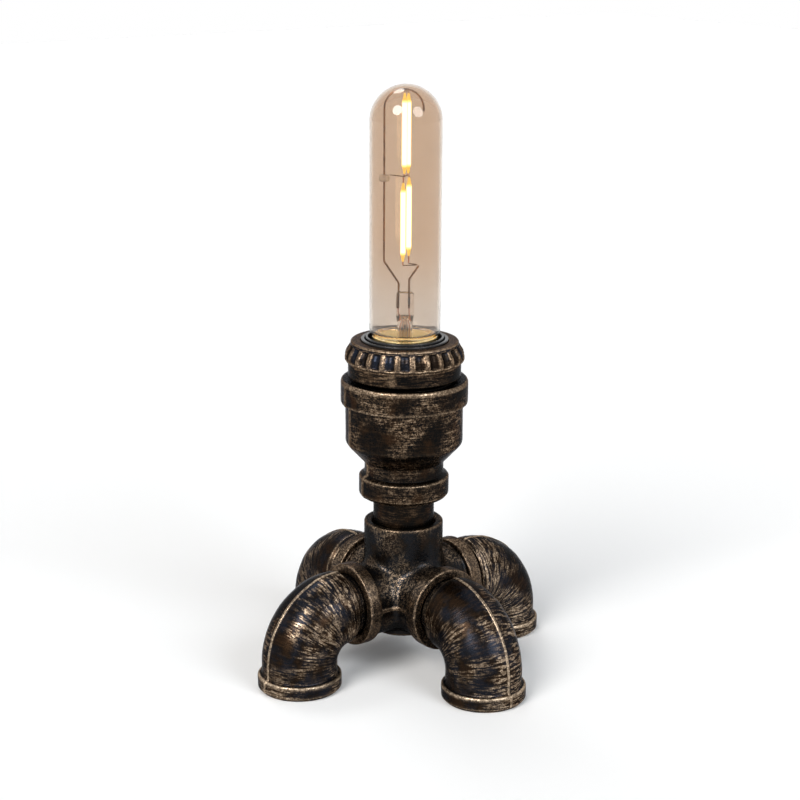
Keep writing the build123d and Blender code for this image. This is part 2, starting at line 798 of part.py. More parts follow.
plate_start = terminal_offset - terminal_size / 2
plate_end = strap_riser_x + strap_thickness / 2
with BuildPart() as shell_strap:
    with BuildSketch(Plane.XY.offset(strap_bottom)):
        with Locations((-(plate_start + plate_end) / 2, 0)):
            Rectangle(plate_end - plate_start, strap_width)
        with Locations((-terminal_offset, 0)):
            Circle(terminal_screw_radius + slide_gap, mode=Mode.SUBTRACT)
    extrude(amount=strap_thickness)
    with BuildSketch(Plane.XY.offset(strap_bottom)):
        with Locations((-strap_riser_x, 0)):
            Rectangle(strap_thickness, strap_width)
    extrude(amount=shell_seat - strap_bottom)
shell_strap.part.label = "shell_strap"
export_step(shell_strap.part, "parts/shell_strap.step")

# clamping blocks with a wire hole across, and their screws
with BuildPart() as terminal_blocks:
    with BuildSketch(Plane.XY.offset(terminal_bottom)):
        with Locations((-terminal_offset, 0), (terminal_offset, 0)):
            Rectangle(terminal_size, terminal_size)
            Circle(terminal_screw_radius + slide_gap, mode=Mode.SUBTRACT)
    extrude(amount=terminal_height)
    wire_level = terminal_bottom + terminal_height / 2
    with BuildSketch(Plane.XZ):
        with Locations((-terminal_offset, wire_level), (terminal_offset, wire_level)):
            Circle(terminal_wire_radius)
    extrude(amount=terminal_size, both=True, mode=Mode.SUBTRACT)
terminal_blocks.part.label = "terminal_blocks"
export_step(terminal_blocks.part, "parts/terminal_blocks.step")

with BuildPart() as terminal_screws:
    with BuildSketch(Plane.XY.offset(terminal_head_top)):
        with Locations((-terminal_offset, 0), (terminal_offset, 0)):
            Circle(terminal_screw_radius)
    extrude(amount=core_floor_bottom + terminal_screw_entry - terminal_head_top)
    with BuildSketch(Plane.XY.offset(terminal_head_top)):
        with Locations((-terminal_offset, 0), (terminal_offset, 0)):
            Circle(terminal_head_radius)
    extrude(amount=-terminal_head)
    with BuildSketch(Plane.XY.offset(terminal_head_top - terminal_head)):
        with Locations((-terminal_offset, 0), (terminal_offset, 0)):
            Rectangle(2 * terminal_head_radius, screw_slot_width)
    extrude(amount=terminal_head / 2, mode=Mode.SUBTRACT)
terminal_screws.part.label = "terminal_screws"
export_step(terminal_screws.part, "parts/terminal_screws.step")


def cable_bush(wall_bottom, wall_top):
    """Bush that lines a cable hole, with a flange on each side of the wall."""
    lower_face = wall_bottom - bush_flange
    upper_face = wall_top + bush_flange
    return turned([
        (bush_bore_radius, lower_face + bush_bevel),
        (bush_bore_radius + bush_bevel, lower_face),
        (bush_flange_radius - bush_bevel, lower_face),
        (bush_flange_radius, lower_face + bush_bevel),
        (bush_flange_radius, wall_bottom - slide_gap),
        (cable_hole_radius, wall_bottom - slide_gap),
        (cable_hole_radius, wall_top + slide_gap),
        (bush_flange_radius, wall_top + slide_gap),
        (bush_flange_radius, upper_face - bush_bevel),
        (bush_flange_radius - bush_bevel, upper_face),
        (bush_bore_radius + bush_bevel, upper_face),
        (bush_bore_radius, upper_face - bush_bevel),
    ])


holder_bush = cable_bush(cup_bottom, cup_floor_top)
holder_bush.part.label = "holder_cable_bush"
export_step(holder_bush.part, "parts/holder_cable_bush.step")

base_grommet = cable_bush(base_underside, base_underside + base_wall)
base_grommet.part.label = "base_cable_grommet"
export_step(base_grommet.part, "parts/base_cable_grommet.step")

# earth screw and washer on the cup's floor
washer_bottom = cup_floor_top + slide_gap
earth_head_bottom = washer_bottom + earth_washer + slide_gap
with BuildPart() as earth_washer_ring:
    with BuildSketch(Plane(origin=(0, earth_screw_offset, washer_bottom))):
        Circle(earth_washer_radius)
        Circle(earth_screw_radius + slide_gap, mode=Mode.SUBTRACT)
    extrude(amount=earth_washer)
earth_washer_ring.part.label = "earth_washer"
export_step(earth_washer_ring.part, "parts/earth_washer.step")

with BuildPart() as earth_screw:
    with BuildSketch(Plane(origin=(0, earth_screw_offset, cup_bottom - earth_tail))):
        Circle(earth_screw_radius)
    extrude(amount=earth_head_bottom - cup_bottom + earth_tail)
    with BuildSketch(Plane(origin=(0, earth_screw_offset, earth_head_bottom))):
        Circle(earth_head_radius)
    extrude(amount=earth_head)
    head_rim = earth_screw.edges().group_by(Axis.Z)[-1]
    fillet(head_rim, radius=earth_head * 0.3)
    with BuildSketch(Plane(origin=(0, earth_screw_offset, earth_head_bottom + earth_head))):
        Rectangle(2 * earth_head_radius, screw_slot_width)
    extrude(amount=-earth_head / 2, mode=Mode.SUBTRACT)
earth_screw.part.label = "earth_screw"
export_step(earth_screw.part, "parts/earth_screw.step")


# ================================================================ bulb: cap and glass
cap_contact_top = bulb_bottom + cap_contact
cap_button = turned([
    (0, bulb_bottom),
    (cap_contact_radius - cap_contact_bevel, bulb_bottom),
    (cap_contact_radius, bulb_bottom + cap_contact_bevel),
    (cap_contact_radius, cap_contact_top),
    (0, cap_contact_top),
])
cap_button.part.label = "cap_contact"
export_step(cap_button.part, "parts/cap_contact.step")

insulator_bottom = cap_contact_top + slide_gap
cap_foot = bulb_bottom + insulator_height
cap_insulator = turned([
    (insulator_hole_radius, insulator_bottom),
    (insulator_foot_radius, insulator_bottom),
    (insulator_radius, cap_foot),
    (insulator_radius, bulb_bottom + insulator_top),
    (insulator_radius - insulator_wall, bulb_bottom + insulator_top),
    (insulator_hole_radius, insulator_bottom + insulator_wall),
])
cap_insulator.part.label = "cap_insulator"
export_step(cap_insulator.part, "parts/cap_insulator.step")

cap_shell = turned([
    (insulator_radius + slide_gap, cap_foot),
    (cap_thread_radius - cap_foot_bevel, cap_foot),
    (cap_thread_radius, cap_foot + cap_foot_bevel),
    (cap_thread_radius, cap_rim - cap_rim_height),
    (cap_rim_radius, cap_rim - cap_rim_band),
    (cap_rim_radius, cap_rim),
    (cap_rim_radius - cap_wall, cap_rim),
    (cap_inner_radius, cap_rim - cap_rim_height),
    (cap_inner_radius, cap_foot + cap_foot_bevel + cap_wall),
    (insulator_radius + slide_gap, cap_foot + cap_wall),
])
cap_shell.part.label = "cap_shell"
export_step(cap_shell.part, "parts/cap_shell.step")

heel_bottom = cap_rim + rest_gap
dome_centre = bulb_top - glass_radius
with BuildPart() as envelope:
    with BuildSketch(Plane.XZ):
        with BuildLine():
            Polyline(
                (0, dome_centre + glass_radius),
                (0, glass_foot),
                (glass_neck_radius, glass_foot),
                (glass_neck_radius, heel_bottom),
            )
            EllipticalCenterArc(
                (glass_neck_radius, heel_bottom + glass_heel),
                glass_radius - glass_neck_radius,
                glass_heel,
                start_angle=270,
                arc_size=90,
            )
            Line((glass_radius, heel_bottom + glass_heel), (glass_radius, dome_centre))
            CenterArc((0, dome_centre), glass_radius, 0, 90)
        make_face()
    revolve(axis=Axis.Z)
    offset(amount=-glass_wall, openings=envelope.faces().sort_by(Axis.Z)[0])
envelope.part.label = "glass_envelope"
export_step(envelope.part, "parts/glass_envelope.step")


# ================================================================ bulb: stem, wires, filaments
def bent_wire(points, radius, bends=()):
    """Round wire along straight runs joined by bends, in the bulb's own axes."""
    with BuildPart() as wire:
        with BuildLine(bulb_axes) as route:
            if bends:
                FilletPolyline(*points, radius=list(bends))
            else:
                Line(*points)
        with BuildSketch(Plane(origin=route.line @ 0, z_dir=route.line % 0)):
            Circle(radius)
        sweep(path=route.line)
    return wire


long_wire_route = [
    (long_wire_foot_x, 0, seal_bottom),
    (long_wire_foot_x, 0, pinch_top + long_wire_knee_rise),
    (long_wire_x, long_wire_y, pinch_top + long_wire_elbow_rise),
    (long_wire_x, long_wire_y, arch_top),
    (long_wire_x + arch_width, long_wire_y, arch_top),
    (long_wire_x + arch_width, long_wire_y, arch_top - arch_drop),
]
long_wire_bends = [knee_bend, knee_bend, arch_bend, arch_bend]
short_wire_route = [
    (short_wire_foot_x, 0, seal_bottom),
    (short_wire_foot_x, 0, pinch_top + short_wire_knee_rise),
    (short_wire_x, 0, short_wire_top),
]


def lead_route(side, foot_x):
    """From the driver board up beside the exhaust tube, and across to a support wire's foot."""
    bore_x = side * (stem_radius - stem_wall + exhaust_radius) / 2
    cross_over = (seal_bottom - pinch_bottom) / 3
    return [
        (bore_x, 0, board_top + weld_gap),
        (bore_x, 0, pinch_bottom + weld_gap),
        (foot_x, 0, pinch_bottom + cross_over),
        (foot_x, 0, seal_bottom - weld_gap),
    ]


lead_routes = [lead_route(-1, long_wire_foot_x), lead_route(1, short_wire_foot_x)]
with BuildPart() as stem:
    # flare and tube
    with BuildSketch(Plane.XZ):
        with BuildLine():
            flare_radius = glass_neck_radius - glass_wall - rest_gap
            tube_top = bulb_bottom + pinch_bottom + stem_wall
            Polyline(
                (stem_radius - stem_wall, glass_foot),
                (flare_radius, glass_foot),
                (flare_radius, glass_foot + stem_flare),
                (2 * stem_radius, glass_foot + 1.3 * stem_flare),
                (stem_radius, glass_foot + stem_flare_rise),
                (stem_radius, tube_top),
                (stem_radius - stem_wall, tube_top),
                close=True,
            )
        make_face()
    revolve(axis=Axis.Z)
    # pinch that seals the wires
    with BuildSketch(bulb_axes.offset(pinch_bottom)):
        RectangleRounded(pinch_width, pinch_thickness, pinch_thickness * 0.45)
    extrude(amount=pinch_height)
    pinch_ends = stem.edges().group_by(Axis.Z)[-1]
    fillet(pinch_ends, radius=pinch_thickness * 0.3)
    add(bent_wire(long_wire_route[:2], wire_radius + weld_gap).part, mode=Mode.SUBTRACT)
    add(bent_wire(short_wire_route[:2], wire_radius + weld_gap).part, mode=Mode.SUBTRACT)
    for route in lead_routes:
        channel = bent_wire(route, lead_radius + weld_gap, [lead_bend, lead_bend])
        add(channel.part, mode=Mode.SUBTRACT)
stem.part.label = "glass_stem"
export_step(stem.part, "parts/glass_stem.step")

exhaust_bottom = glass_foot - exhaust_tail
exhaust_top = bulb_bottom + pinch_bottom - weld_gap
exhaust = turned([
    (exhaust_radius - exhaust_wall, exhaust_bottom),
    (exhaust_radius, exhaust_bottom),
    (exhaust_radius, exhaust_top),
    (exhaust_radius - exhaust_wall, exhaust_top),
])
exhaust.part.label = "exhaust_tube"
export_step(exhaust.part, "parts/exhaust_tube.step")

with BuildPart() as lead_wires:
    for route in lead_routes:
        add(bent_wire(route, lead_radius, [lead_bend, lead_bend]).part)
lead_wires.part.label = "lead_in_wires"
export_step(lead_wires.part, "parts/lead_in_wires.step")

long_wire = bent_wire(long_wire_route, wire_radius, long_wire_bends)
long_wire.part.label = "support_wire_long"
export_step(long_wire.part, "parts/support_wire_long.step")

short_wire = bent_wire(short_wire_route, wire_radius, [knee_bend])
short_wire.part.label = "support_wire_short"
export_step(short_wire.part, "parts/support_wire_short.step")

# glass bead that insulates the centre bridge from the long wire
bead_middle = bulb_axes.from_local_coords(Vector(long_wire_x, long_wire_y, bead_height))
bead_axes = Plane(origin=bead_middle, x_dir=bulb_axes.x_dir, z_dir=up)
with BuildPart() as bead:
    with BuildSketch(bead_axes.offset(-bead_depth / 2)):
        RectangleRounded(bead_width, bead_depth, bead_depth * 0.45)
    extrude(amount=bead_depth)
    bead_rims = bead.edges().group_by(Axis.Z)
    fillet(bead_rims[0] + bead_rims[-1], radius=bead_round)
    with BuildSketch(bead_axes.offset(-bead_depth)):
        Circle(wire_radius + weld_gap)
    extrude(amount=2 * bead_depth, mode=Mode.SUBTRACT)
bead.part.label = "glass_bead"
export_step(bead.part, "parts/glass_bead.step")


def filament_pair(level_name):
    """Places of the front and back filament on one level, in the bulb's own axes."""
    front = filament_places[f"filament_{level_name}_front"]
    back = filament_places[f"filament_{level_name}_back"]
    return front, back


upper_front, upper_back = filament_pair("upper")
lower_front, lower_back = filament_pair("lower")
bridge_routes = {
    "centre_bridge_wire": [
        (long_wire_x + bead_width / 2 + bridge_radius, long_wire_y, centre_bridge),
        (upper_front[0], upper_front[1], centre_bridge),
        (upper_back[0], upper_back[1], centre_bridge),
    ],
    "lower_bridge_wire": [
        (lower_front[0], lower_front[1], lower_bridge),
        (short_wire_x, 0, lower_bridge),
        (lower_back[0], lower_back[1], lower_bridge),
    ],
    "top_bridge_wire": [
        (upper_front[0], upper_front[1], top_bridge),
        (upper_front[0], long_wire_y, top_bridge),
        (upper_back[0], upper_back[1], top_bridge),
    ],
}
for bridge_name, route in bridge_routes.items():
    bridge = bent_wire(route, bridge_radius, [bridge_bend])
    bridge.part.label = bridge_name
    export_step(bridge.part, f"parts/{bridge_name}.step")

end_leads = []
for filament_name, (place_x, place_y, rise) in filament_places.items():
    upper_row = "upper" in filament_name
    bridge_below = centre_bridge if upper_row else lower_bridge
    bridge_above = top_bridge if upper_row else centre_bridge
    foot = bridge_below + rise
    head = foot + filament_length
    with BuildPart() as filament:
        with BuildSketch(bulb_axes.offset(foot)):
            with Locations((place_x, place_y)):
                Circle(filament_radius)
        extrude(amount=filament_length)
    filament.part.label = filament_name
    export_step(filament.part, f"parts/{filament_name}.step")
    end_leads.append((place_x, place_y, bridge_below + bridge_radius + weld_gap, foot - weld_gap))
    end_leads.append((place_x, place_y, head + weld_gap, bridge_above - bridge_radius - weld_gap))

with BuildPart() as filament_ends:
    for place_x, place_y, lead_foot, lead_head in end_leads:
        with BuildSketch(bulb_axes.offset(lead_foot)):
            with Locations((place_x, place_y)):
                Circle(end_lead_radius)
        extrude(amount=lead_head - lead_foot)
filament_ends.part.label = "filament_end_leads"
export_step(filament_ends.part, "parts/filament_end_leads.step")

# driver board in the cap, under the stem
with BuildPart() as board:
    with BuildSketch(bulb_axes.offset(board_bottom)):
        Rectangle(board_width, board_thickness)
    extrude(amount=board_top - board_bottom)
board.part.label = "driver_board"
export_step(board.part, "parts/driver_board.step")
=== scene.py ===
"""Pipe-fitting table lamp, dressed: bronze brushed over black on rough castings, a fluted ring,
a black insulator, and a lit tubular bulb with four filaments.

Outlines are in millimetres, like the drawing of a fitting, and become metres when a mesh is made.
"""
from math import cos, pi, radians, sin, tan

import bmesh
import bpy
import numpy as np
from mathutils import Matrix, Vector, noise


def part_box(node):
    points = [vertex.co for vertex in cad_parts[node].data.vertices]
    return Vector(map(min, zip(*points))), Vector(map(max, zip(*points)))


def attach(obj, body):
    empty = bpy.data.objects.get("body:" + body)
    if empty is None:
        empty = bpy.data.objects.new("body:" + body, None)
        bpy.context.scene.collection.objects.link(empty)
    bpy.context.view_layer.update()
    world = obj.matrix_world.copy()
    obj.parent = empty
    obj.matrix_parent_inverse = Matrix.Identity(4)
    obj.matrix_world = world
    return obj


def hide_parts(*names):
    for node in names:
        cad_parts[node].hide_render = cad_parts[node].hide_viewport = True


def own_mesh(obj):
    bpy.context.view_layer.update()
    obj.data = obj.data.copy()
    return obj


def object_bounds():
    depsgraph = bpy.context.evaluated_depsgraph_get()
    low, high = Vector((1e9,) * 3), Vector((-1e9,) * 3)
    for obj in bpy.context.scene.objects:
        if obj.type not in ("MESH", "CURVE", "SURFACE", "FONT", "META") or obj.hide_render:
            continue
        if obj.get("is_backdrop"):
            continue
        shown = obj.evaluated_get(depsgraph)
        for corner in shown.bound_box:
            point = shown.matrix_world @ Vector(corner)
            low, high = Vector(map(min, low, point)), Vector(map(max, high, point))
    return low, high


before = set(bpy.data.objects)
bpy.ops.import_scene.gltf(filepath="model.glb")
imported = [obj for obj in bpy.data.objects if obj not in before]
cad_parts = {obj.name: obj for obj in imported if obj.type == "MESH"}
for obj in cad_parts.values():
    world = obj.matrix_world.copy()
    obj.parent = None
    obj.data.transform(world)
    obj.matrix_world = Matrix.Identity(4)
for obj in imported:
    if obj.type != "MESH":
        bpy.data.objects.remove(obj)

bl_info = {
    "name": "Pipe fitting table lamp",
    "version": (1, 0, 0),
    "blender": (4, 5, 0),
    "location": "View3D > Sidebar > Pipe lamp",
    "description": "Builds a table lamp of cast pipe fittings with a tubular filament bulb",
    "category": "Add Mesh",
}

cad_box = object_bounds()
MM = 0.001
SIDES = {"right": 0, "back": 90, "left": 180, "front": 270}     # legs, degrees round the lamp


def low_mm(node):
    """Lowest corner of a node's box, in millimetres."""
    return [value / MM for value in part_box(node)[0]]


def high_mm(node):
    """Highest corner of a node's box, in millimetres."""
    return [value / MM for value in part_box(node)[1]]


def heights_mm(node):
    """Heights of a node's foot and top, in millimetres."""
    return low_mm(node)[2], high_mm(node)[2]


def radius_mm(node):
    """Radius of a node that is turned about the lamp's axis."""
    return high_mm(node)[0]


# ---- sizes shared by several pieces
socket_radius = 13.16          # threaded sockets of the fittings
casting_bore = 12.0            # waterways of the fittings
pipe_radius = radius_mm("pipe_nipple")
pipe_pitch = 1.814             # fourteen turns to the inch
lamp_pitch = 3.629             # seven turns to the inch
lamp_thread_depth = 0.95
arms_level = 31.0
arm_radius = 15.6
arm_length = high_mm("cross_fitting")[0]
elbow_radius = 16.0            # outside of the legs' bends
elbow_entry = 9.5              # how far a leg goes into its socket
cross_top = high_mm("cross_fitting")[2]
bulb_turn = radians(-38.0)     # way the filaments face with the bulb screwed home
bulb_foot = low_mm("cap_contact")[2]
mould_way = radians(165.0)     # where the moulds of the bell reducer part


# ---- meshes
def rounded(points, steps=5):
    """Outline with rounded corners. A point is (radius, height) or (radius, height, round)."""
    outline = []
    count = len(points)
    for index, point in enumerate(points):
        corner = Vector(point[:2])
        if len(point) < 3:
            outline.append(corner)
            continue
        before = Vector(points[index - 1][:2]) - corner
        after = Vector(points[(index + 1) % count][:2]) - corner
        half_turn = (pi - before.angle(after)) / 2
        reach = min(point[2] * tan(half_turn), 0.49 * before.length, 0.49 * after.length)
        start = corner + before.normalized() * reach
        end = corner + after.normalized() * reach
        for step in range(steps + 1):
            t = step / steps
            outline.append(start * (1 - t) ** 2 + corner * (2 * t * (1 - t)) + end * t * t)
    return outline


def divided(outline, longest, closed=True):
    """The same outline with no run longer than a given length, and no doubled points."""
    points = []
    for start, end in zip(outline, outline[1:] + outline[:1] if closed else outline[1:]):
        run = (end - start).length
        if run < 1e-4:
            continue
        parts = max(1, round(run / longest + 0.49))
        points += [start.lerp(end, part / parts) for part in range(parts)]
    if not closed:
        points.append(outline[-1])
    return points


def grid_mesh(name, rows, closed):
    """Mesh over rows of points. Rows of one point are poles, and closed joins last to first."""
    points, starts = [], []
    for row in rows:
        starts.append(len(points))
        points.extend(row)
    faces = []
    for index in range(len(rows) if closed else len(rows) - 1):
        following = (index + 1) % len(rows)
        here, there = len(rows[index]), len(rows[following])
        a, b = starts[index], starts[following]
        around = max(here, there)
        for k in range(around):
            n = (k + 1) % around
            if here == 1:
                faces.append((a, b + n, b + k))
            elif there == 1:
                faces.append((a + k, a + n, b))
            else:
                faces.append((a + k, a + n, b + n, b + k))
    mesh = bpy.data.meshes.new(name)
    mesh.from_pydata([(p[0] * MM, p[1] * MM, p[2] * MM) for p in points], [], faces)
    return mesh


def lumps(x, y, z, size=9.0):
    """Gentle unevenness of a casting, from -1 to 1, at a place in millimetres."""
    return noise.noise(Vector((x, y, z)) / size)


def turned_rows(outline, segments, uneven=0.0, reshape=None):
    """Rows of points round the lamp's axis, one for each point of a (radius, height) outline."""
    rows = []
    for radius, height in outline:
        if radius < 1e-6:
            rows.append([(0.0, 0.0, height)])
            continue
        row = []
        for k in range(segments):
            angle = 2 * pi * k / segments
            r, z = reshape(radius, height, angle) if reshape else (radius, height)
            x, y = r * cos(angle), r * sin(angle)
            if uneven:
                shift = 1 + uneven * lumps(x, y, z) / r
                x, y = x * shift, y * shift
            row.append((x, y, z))
        rows.append(row)
    return rows


def vectors(mesh, name="co"):
    """Places or normals of a mesh's vertices, one row for each. Places are in metres."""
    values = np.empty(len(mesh.vertices) * 3)
    mesh.vertices.foreach_get(name, values)
    return values.reshape(-1, 3)


def store(mesh, name, values, kind="FLOAT"):
    """Store a number or a vector for each vertex, for the materials to read."""
    layer = mesh.attributes.new(name, kind, "POINT")
    layer.data.foreach_set("value" if kind == "FLOAT" else "vector",
                           np.asarray(values, dtype=np.float32).ravel())


def mark_wear(mesh):
    """Store how sharply the surface stands out or falls in: 'edge' and 'hollow', from 0 to 1."""
    count = len(mesh.vertices)
    points, normals = vectors(mesh) / MM, vectors(mesh, "normal")
    pairs = np.empty(len(mesh.edges) * 2, dtype=np.int64)
    mesh.edges.foreach_get("vertices", pairs)
    a, b = pairs.reshape(-1, 2).T

    def gathered(at_a, at_b):
        """Sum at each vertex of what its edges bring to their two ends."""
        return np.bincount(a, at_a, count) + np.bincount(b, at_b, count)

    step = points[b] - points[a]
    length_squared = np.maximum((step ** 2).sum(1), 1e-8)
    degree = np.maximum(gathered(None, None), 1)
    bend = gathered(-(normals[a] * step).sum(1) / length_squared,
                    (normals[b] * step).sum(1) / length_squared) / degree
    for _ in range(2):
        bend = 0.5 * bend + 0.5 * gathered(bend[b], bend[a]) / degree
    # a mask starts at a bend, in radians for each millimetre, and is full after a further one
    for name, sign, least, further in (("edge", 1, 0.06, 0.5), ("hollow", -1, 0.04, 0.4)):
        store(mesh, name, np.clip((sign * bend - least) / further, 0, 1))


def finish_piece(mesh, material, body="root", nodes=(), brush=None, wear=True):
    """Object for a finished mesh, which rides on a body and stands for CAD nodes.

    Brush is the way of the strokes: first across them, then along them, in millimetres.
    """
    work = bmesh.new()
    work.from_mesh(mesh)
    bmesh.ops.recalc_face_normals(work, faces=work.faces)
    work.to_mesh(mesh)
    work.free()
    mesh.shade_smooth()
    if brush is None:
        brush = vectors(mesh)[:, [2, 0, 1]] / MM
    store(mesh, "brush", brush, "FLOAT_VECTOR")
    if wear:
        mark_wear(mesh)
    mesh.materials.clear()
    mesh.materials.append(material)
    piece = bpy.data.objects.new(mesh.name, mesh)
    bpy.context.scene.collection.objects.link(piece)
    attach(piece, body)
    if nodes:
        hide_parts(*nodes)
    return piece


def touch_up(piece, mask):
    """Lay bronze where a mask of places in millimetres is above 0, as on a worn edge and as a
    painted highlight, and keep the brush off where it is below 0, for bare black and for painted
    shade."""
    wanted = mask(*(vectors(piece.data).T / MM))
    kept = np.clip(1 + wanted, 0, 1)
    for name, share, least in (("edge", kept, wanted), ("hollow", 1.0, -wanted)):
        values = np.empty(len(wanted))
        layer = piece.data.attributes[name]
        layer.data.foreach_get("value", values)
        layer.data.foreach_set("value", np.maximum(values * share, least).astype(np.float32))


def mould_line(radius, height, angle):
    """Raised line that two halves of a mould leave down both sides of a casting."""
    rise, half_width = 0.28, 1.5
    away = abs((angle - mould_way + pi / 2) % pi - pi / 2) * radius
    return radius + rise * max(0.0, 1 - (away / half_width) ** 2), height


def turned_piece(name, points, material, body="root", nodes=(), segments=144,
                 longest=1.2, uneven=0.0, reshape=None, carving=None):
    """Piece turned about the lamp's axis from a (radius, height, round) outline.

    Carving is a Geometry Nodes tree that then shapes it, with the values of the tree's inputs.
    """
    rows = turned_rows(divided(rounded(points), longest), segments, uneven, reshape)
    if carving:
        tree, values = carving
        mesh = baked_by_nodes(grid_mesh(name + "_blank", rows, True), tree,
                              {**values, "Material": material}, name)
    else:
        mesh = grid_mesh(name, rows, True)
    return finish_piece(mesh, material, body, nodes)


def clipped(value):
    """The value kept from 0 to 1."""
    return min(1.0, max(0.0, value))


def beside_way(x, y, way):
    """How far places lie to either side of a line through the axis, in millimetres."""
    return np.abs(x * sin(way) - y * cos(way))


def ridge(turn):
    """Height of a round-topped thread, from 0 at the root to 1 at the crest, over one turn."""
    return 0.5 + 0.5 * cos(2 * pi * turn)


# ---- node trees
class Field:
    """A value in a node tree. Adding, multiplying and so on join it to others by Math nodes."""

    def __init__(self, socket):
        self.tree = socket.id_data
        self.socket = socket

    def math(self, operation, *others):
        """Result of a Math node on this and other values."""
        inputs = dict(enumerate((self,) + others))
        return out(node_of(self.tree, "ShaderNodeMath", inputs, operation=operation))

    def __add__(self, other):
        return self.math("ADD", other)

    def __sub__(self, other):
        return self.math("SUBTRACT", other)

    def __mul__(self, other):
        return self.math("MULTIPLY", other)

    def __truediv__(self, other):
        return self.math("DIVIDE", other)

    def __neg__(self):
        return self.math("MULTIPLY", -1.0)

    def least(self, other, soft=0.0):
        """Smaller of two values, with the corner between them rounded where soft is above 0."""
        return self.math("SMOOTH_MIN", other, soft) if soft else self.math("MINIMUM", other)

    def most(self, other, soft=0.0):
        """Larger of two values, with the corner between them rounded where soft is above 0."""
        return self.math("SMOOTH_MAX", other, soft) if soft else self.math("MAXIMUM", other)

    def far(self, other):
        """Distance from the origin of a point whose two coordinates are this and the other."""
        return (self * self + other * other).math("SQRT")

    def ramp(self, low, high):
        """Smooth rise from 0 at low to 1 at high."""
        return out(node_of(self.tree, "ShaderNodeMapRange", {
            "Value": self, "From Min": low, "From Max": high},
            interpolation_type="SMOOTHSTEP"), "Result")

    def noise(self, scale, detail=2.0, rough=0.55):
        """Noise from about 0.3 to 0.7 at the place that this vector gives."""
        return out(node_of(self.tree, "ShaderNodeTexNoise", {
            "Vector": self, "Scale": scale, "Detail": detail, "Roughness": rough}))

    def by(self, operation, vector):
        """This vector joined to a plain one by a Vector Math node."""
        return out(node_of(self.tree, "ShaderNodeVectorMath", {0: self, 1: vector},
                           operation=operation))

    def between(self, first, second):
        """Colour between two colours, the first at 0 and the second at 1."""
        mix = node_of(self.tree, "ShaderNodeMix", data_type="RGBA")
        for index, value in ((0, self), (6, first), (7, second)):
            put(mix.inputs[index], value)
        return out(mix, 2)


def put(slot, value):
    """Join a field to a socket, or set the socket to a plain value."""
    if isinstance(value, Field):
        slot.id_data.links.new(value.socket, slot)
    else:
        slot.default_value = value


def node_of(tree, kind, inputs=None, **settings):
    """New node with its settings and inputs. Inputs are fields or plain values."""
    node = tree.nodes.new(kind)
    for key, value in settings.items():
        setattr(node, key, value)
    feed(node, inputs or {})
    return node


def feed(node, inputs):
    """Set inputs of a node to fields or plain values."""
    for key, value in inputs.items():
        put(node.inputs[key], value)


def out(node, name=0):
    """One output of a node, as a field."""
    return Field(node.outputs[name])


def new_group(name, kind, inputs, outputs):
    """Node group with named sockets, its input node and its output node."""
    tree = bpy.data.node_groups.new(name, kind)
    for label, socket_kind, default in inputs:
        socket = tree.interface.new_socket(label, in_out="INPUT", socket_type=socket_kind)
        if default is not None:
            socket.default_value = default
    for label, socket_kind in outputs:
        tree.interface.new_socket(label, in_out="OUTPUT", socket_type=socket_kind)
    return tree, tree.nodes.new("NodeGroupInput"), tree.nodes.new("NodeGroupOutput")


def baked_by_nodes(piece_mesh, tree, values, name):
    """Plain mesh that a Geometry Nodes tree makes, with its inputs set by name."""
    carrier = bpy.data.objects.new(name, piece_mesh)
    bpy.context.scene.collection.objects.link(carrier)
    modifier = carrier.modifiers.new(tree.name, "NODES")
    modifier.node_group = tree
    for item in tree.interface.items_tree:
        if item.item_type == "SOCKET" and item.in_out == "INPUT" and item.name in values:
            modifier[item.identifier] = values[item.name]
    bpy.context.view_layer.update()
    evaluated = carrier.evaluated_get(bpy.context.evaluated_depsgraph_get())
    mesh = bpy.data.meshes.new_from_object(evaluated)
    mesh.name = name
    carrier.modifiers.clear()
    bpy.data.objects.remove(carrier)
    return mesh


# ---- Geometry Nodes trees
def shape_group(name, sizes, takes_piece):
    """Geometry Nodes group whose inputs are sizes in millimetres and a material, and mostly the
    piece to shape. Gives the group, its sizes and the place of a point, as fields."""
    piece = [("Geometry", "NodeSocketGeometry", None)] if takes_piece else []
    tree, given, _ = new_group(
        name, "GeometryNodeTree",
        piece + [(label, "NodeSocketFloat", value) for label, value in sizes.items()]
        + [("Material", "NodeSocketMaterial", None)], [("Geometry", "NodeSocketGeometry")])
    size = {label: out(given, label) for label in sizes}
    return tree, size, out(node_of(tree, "GeometryNodeInputPosition"))


def closed_group(tree, shape):
    """The group, whose shape is realized and takes the material before it goes out."""
    realized = node_of(tree, "GeometryNodeRealizeInstances", {"Geometry": out(shape)})
    painted = node_of(tree, "GeometryNodeSetMaterial", {
        "Geometry": out(realized), "Material": out(tree.nodes["Group Input"], "Material")})
    put(tree.nodes["Group Output"].inputs["Geometry"], out(painted))
    return tree


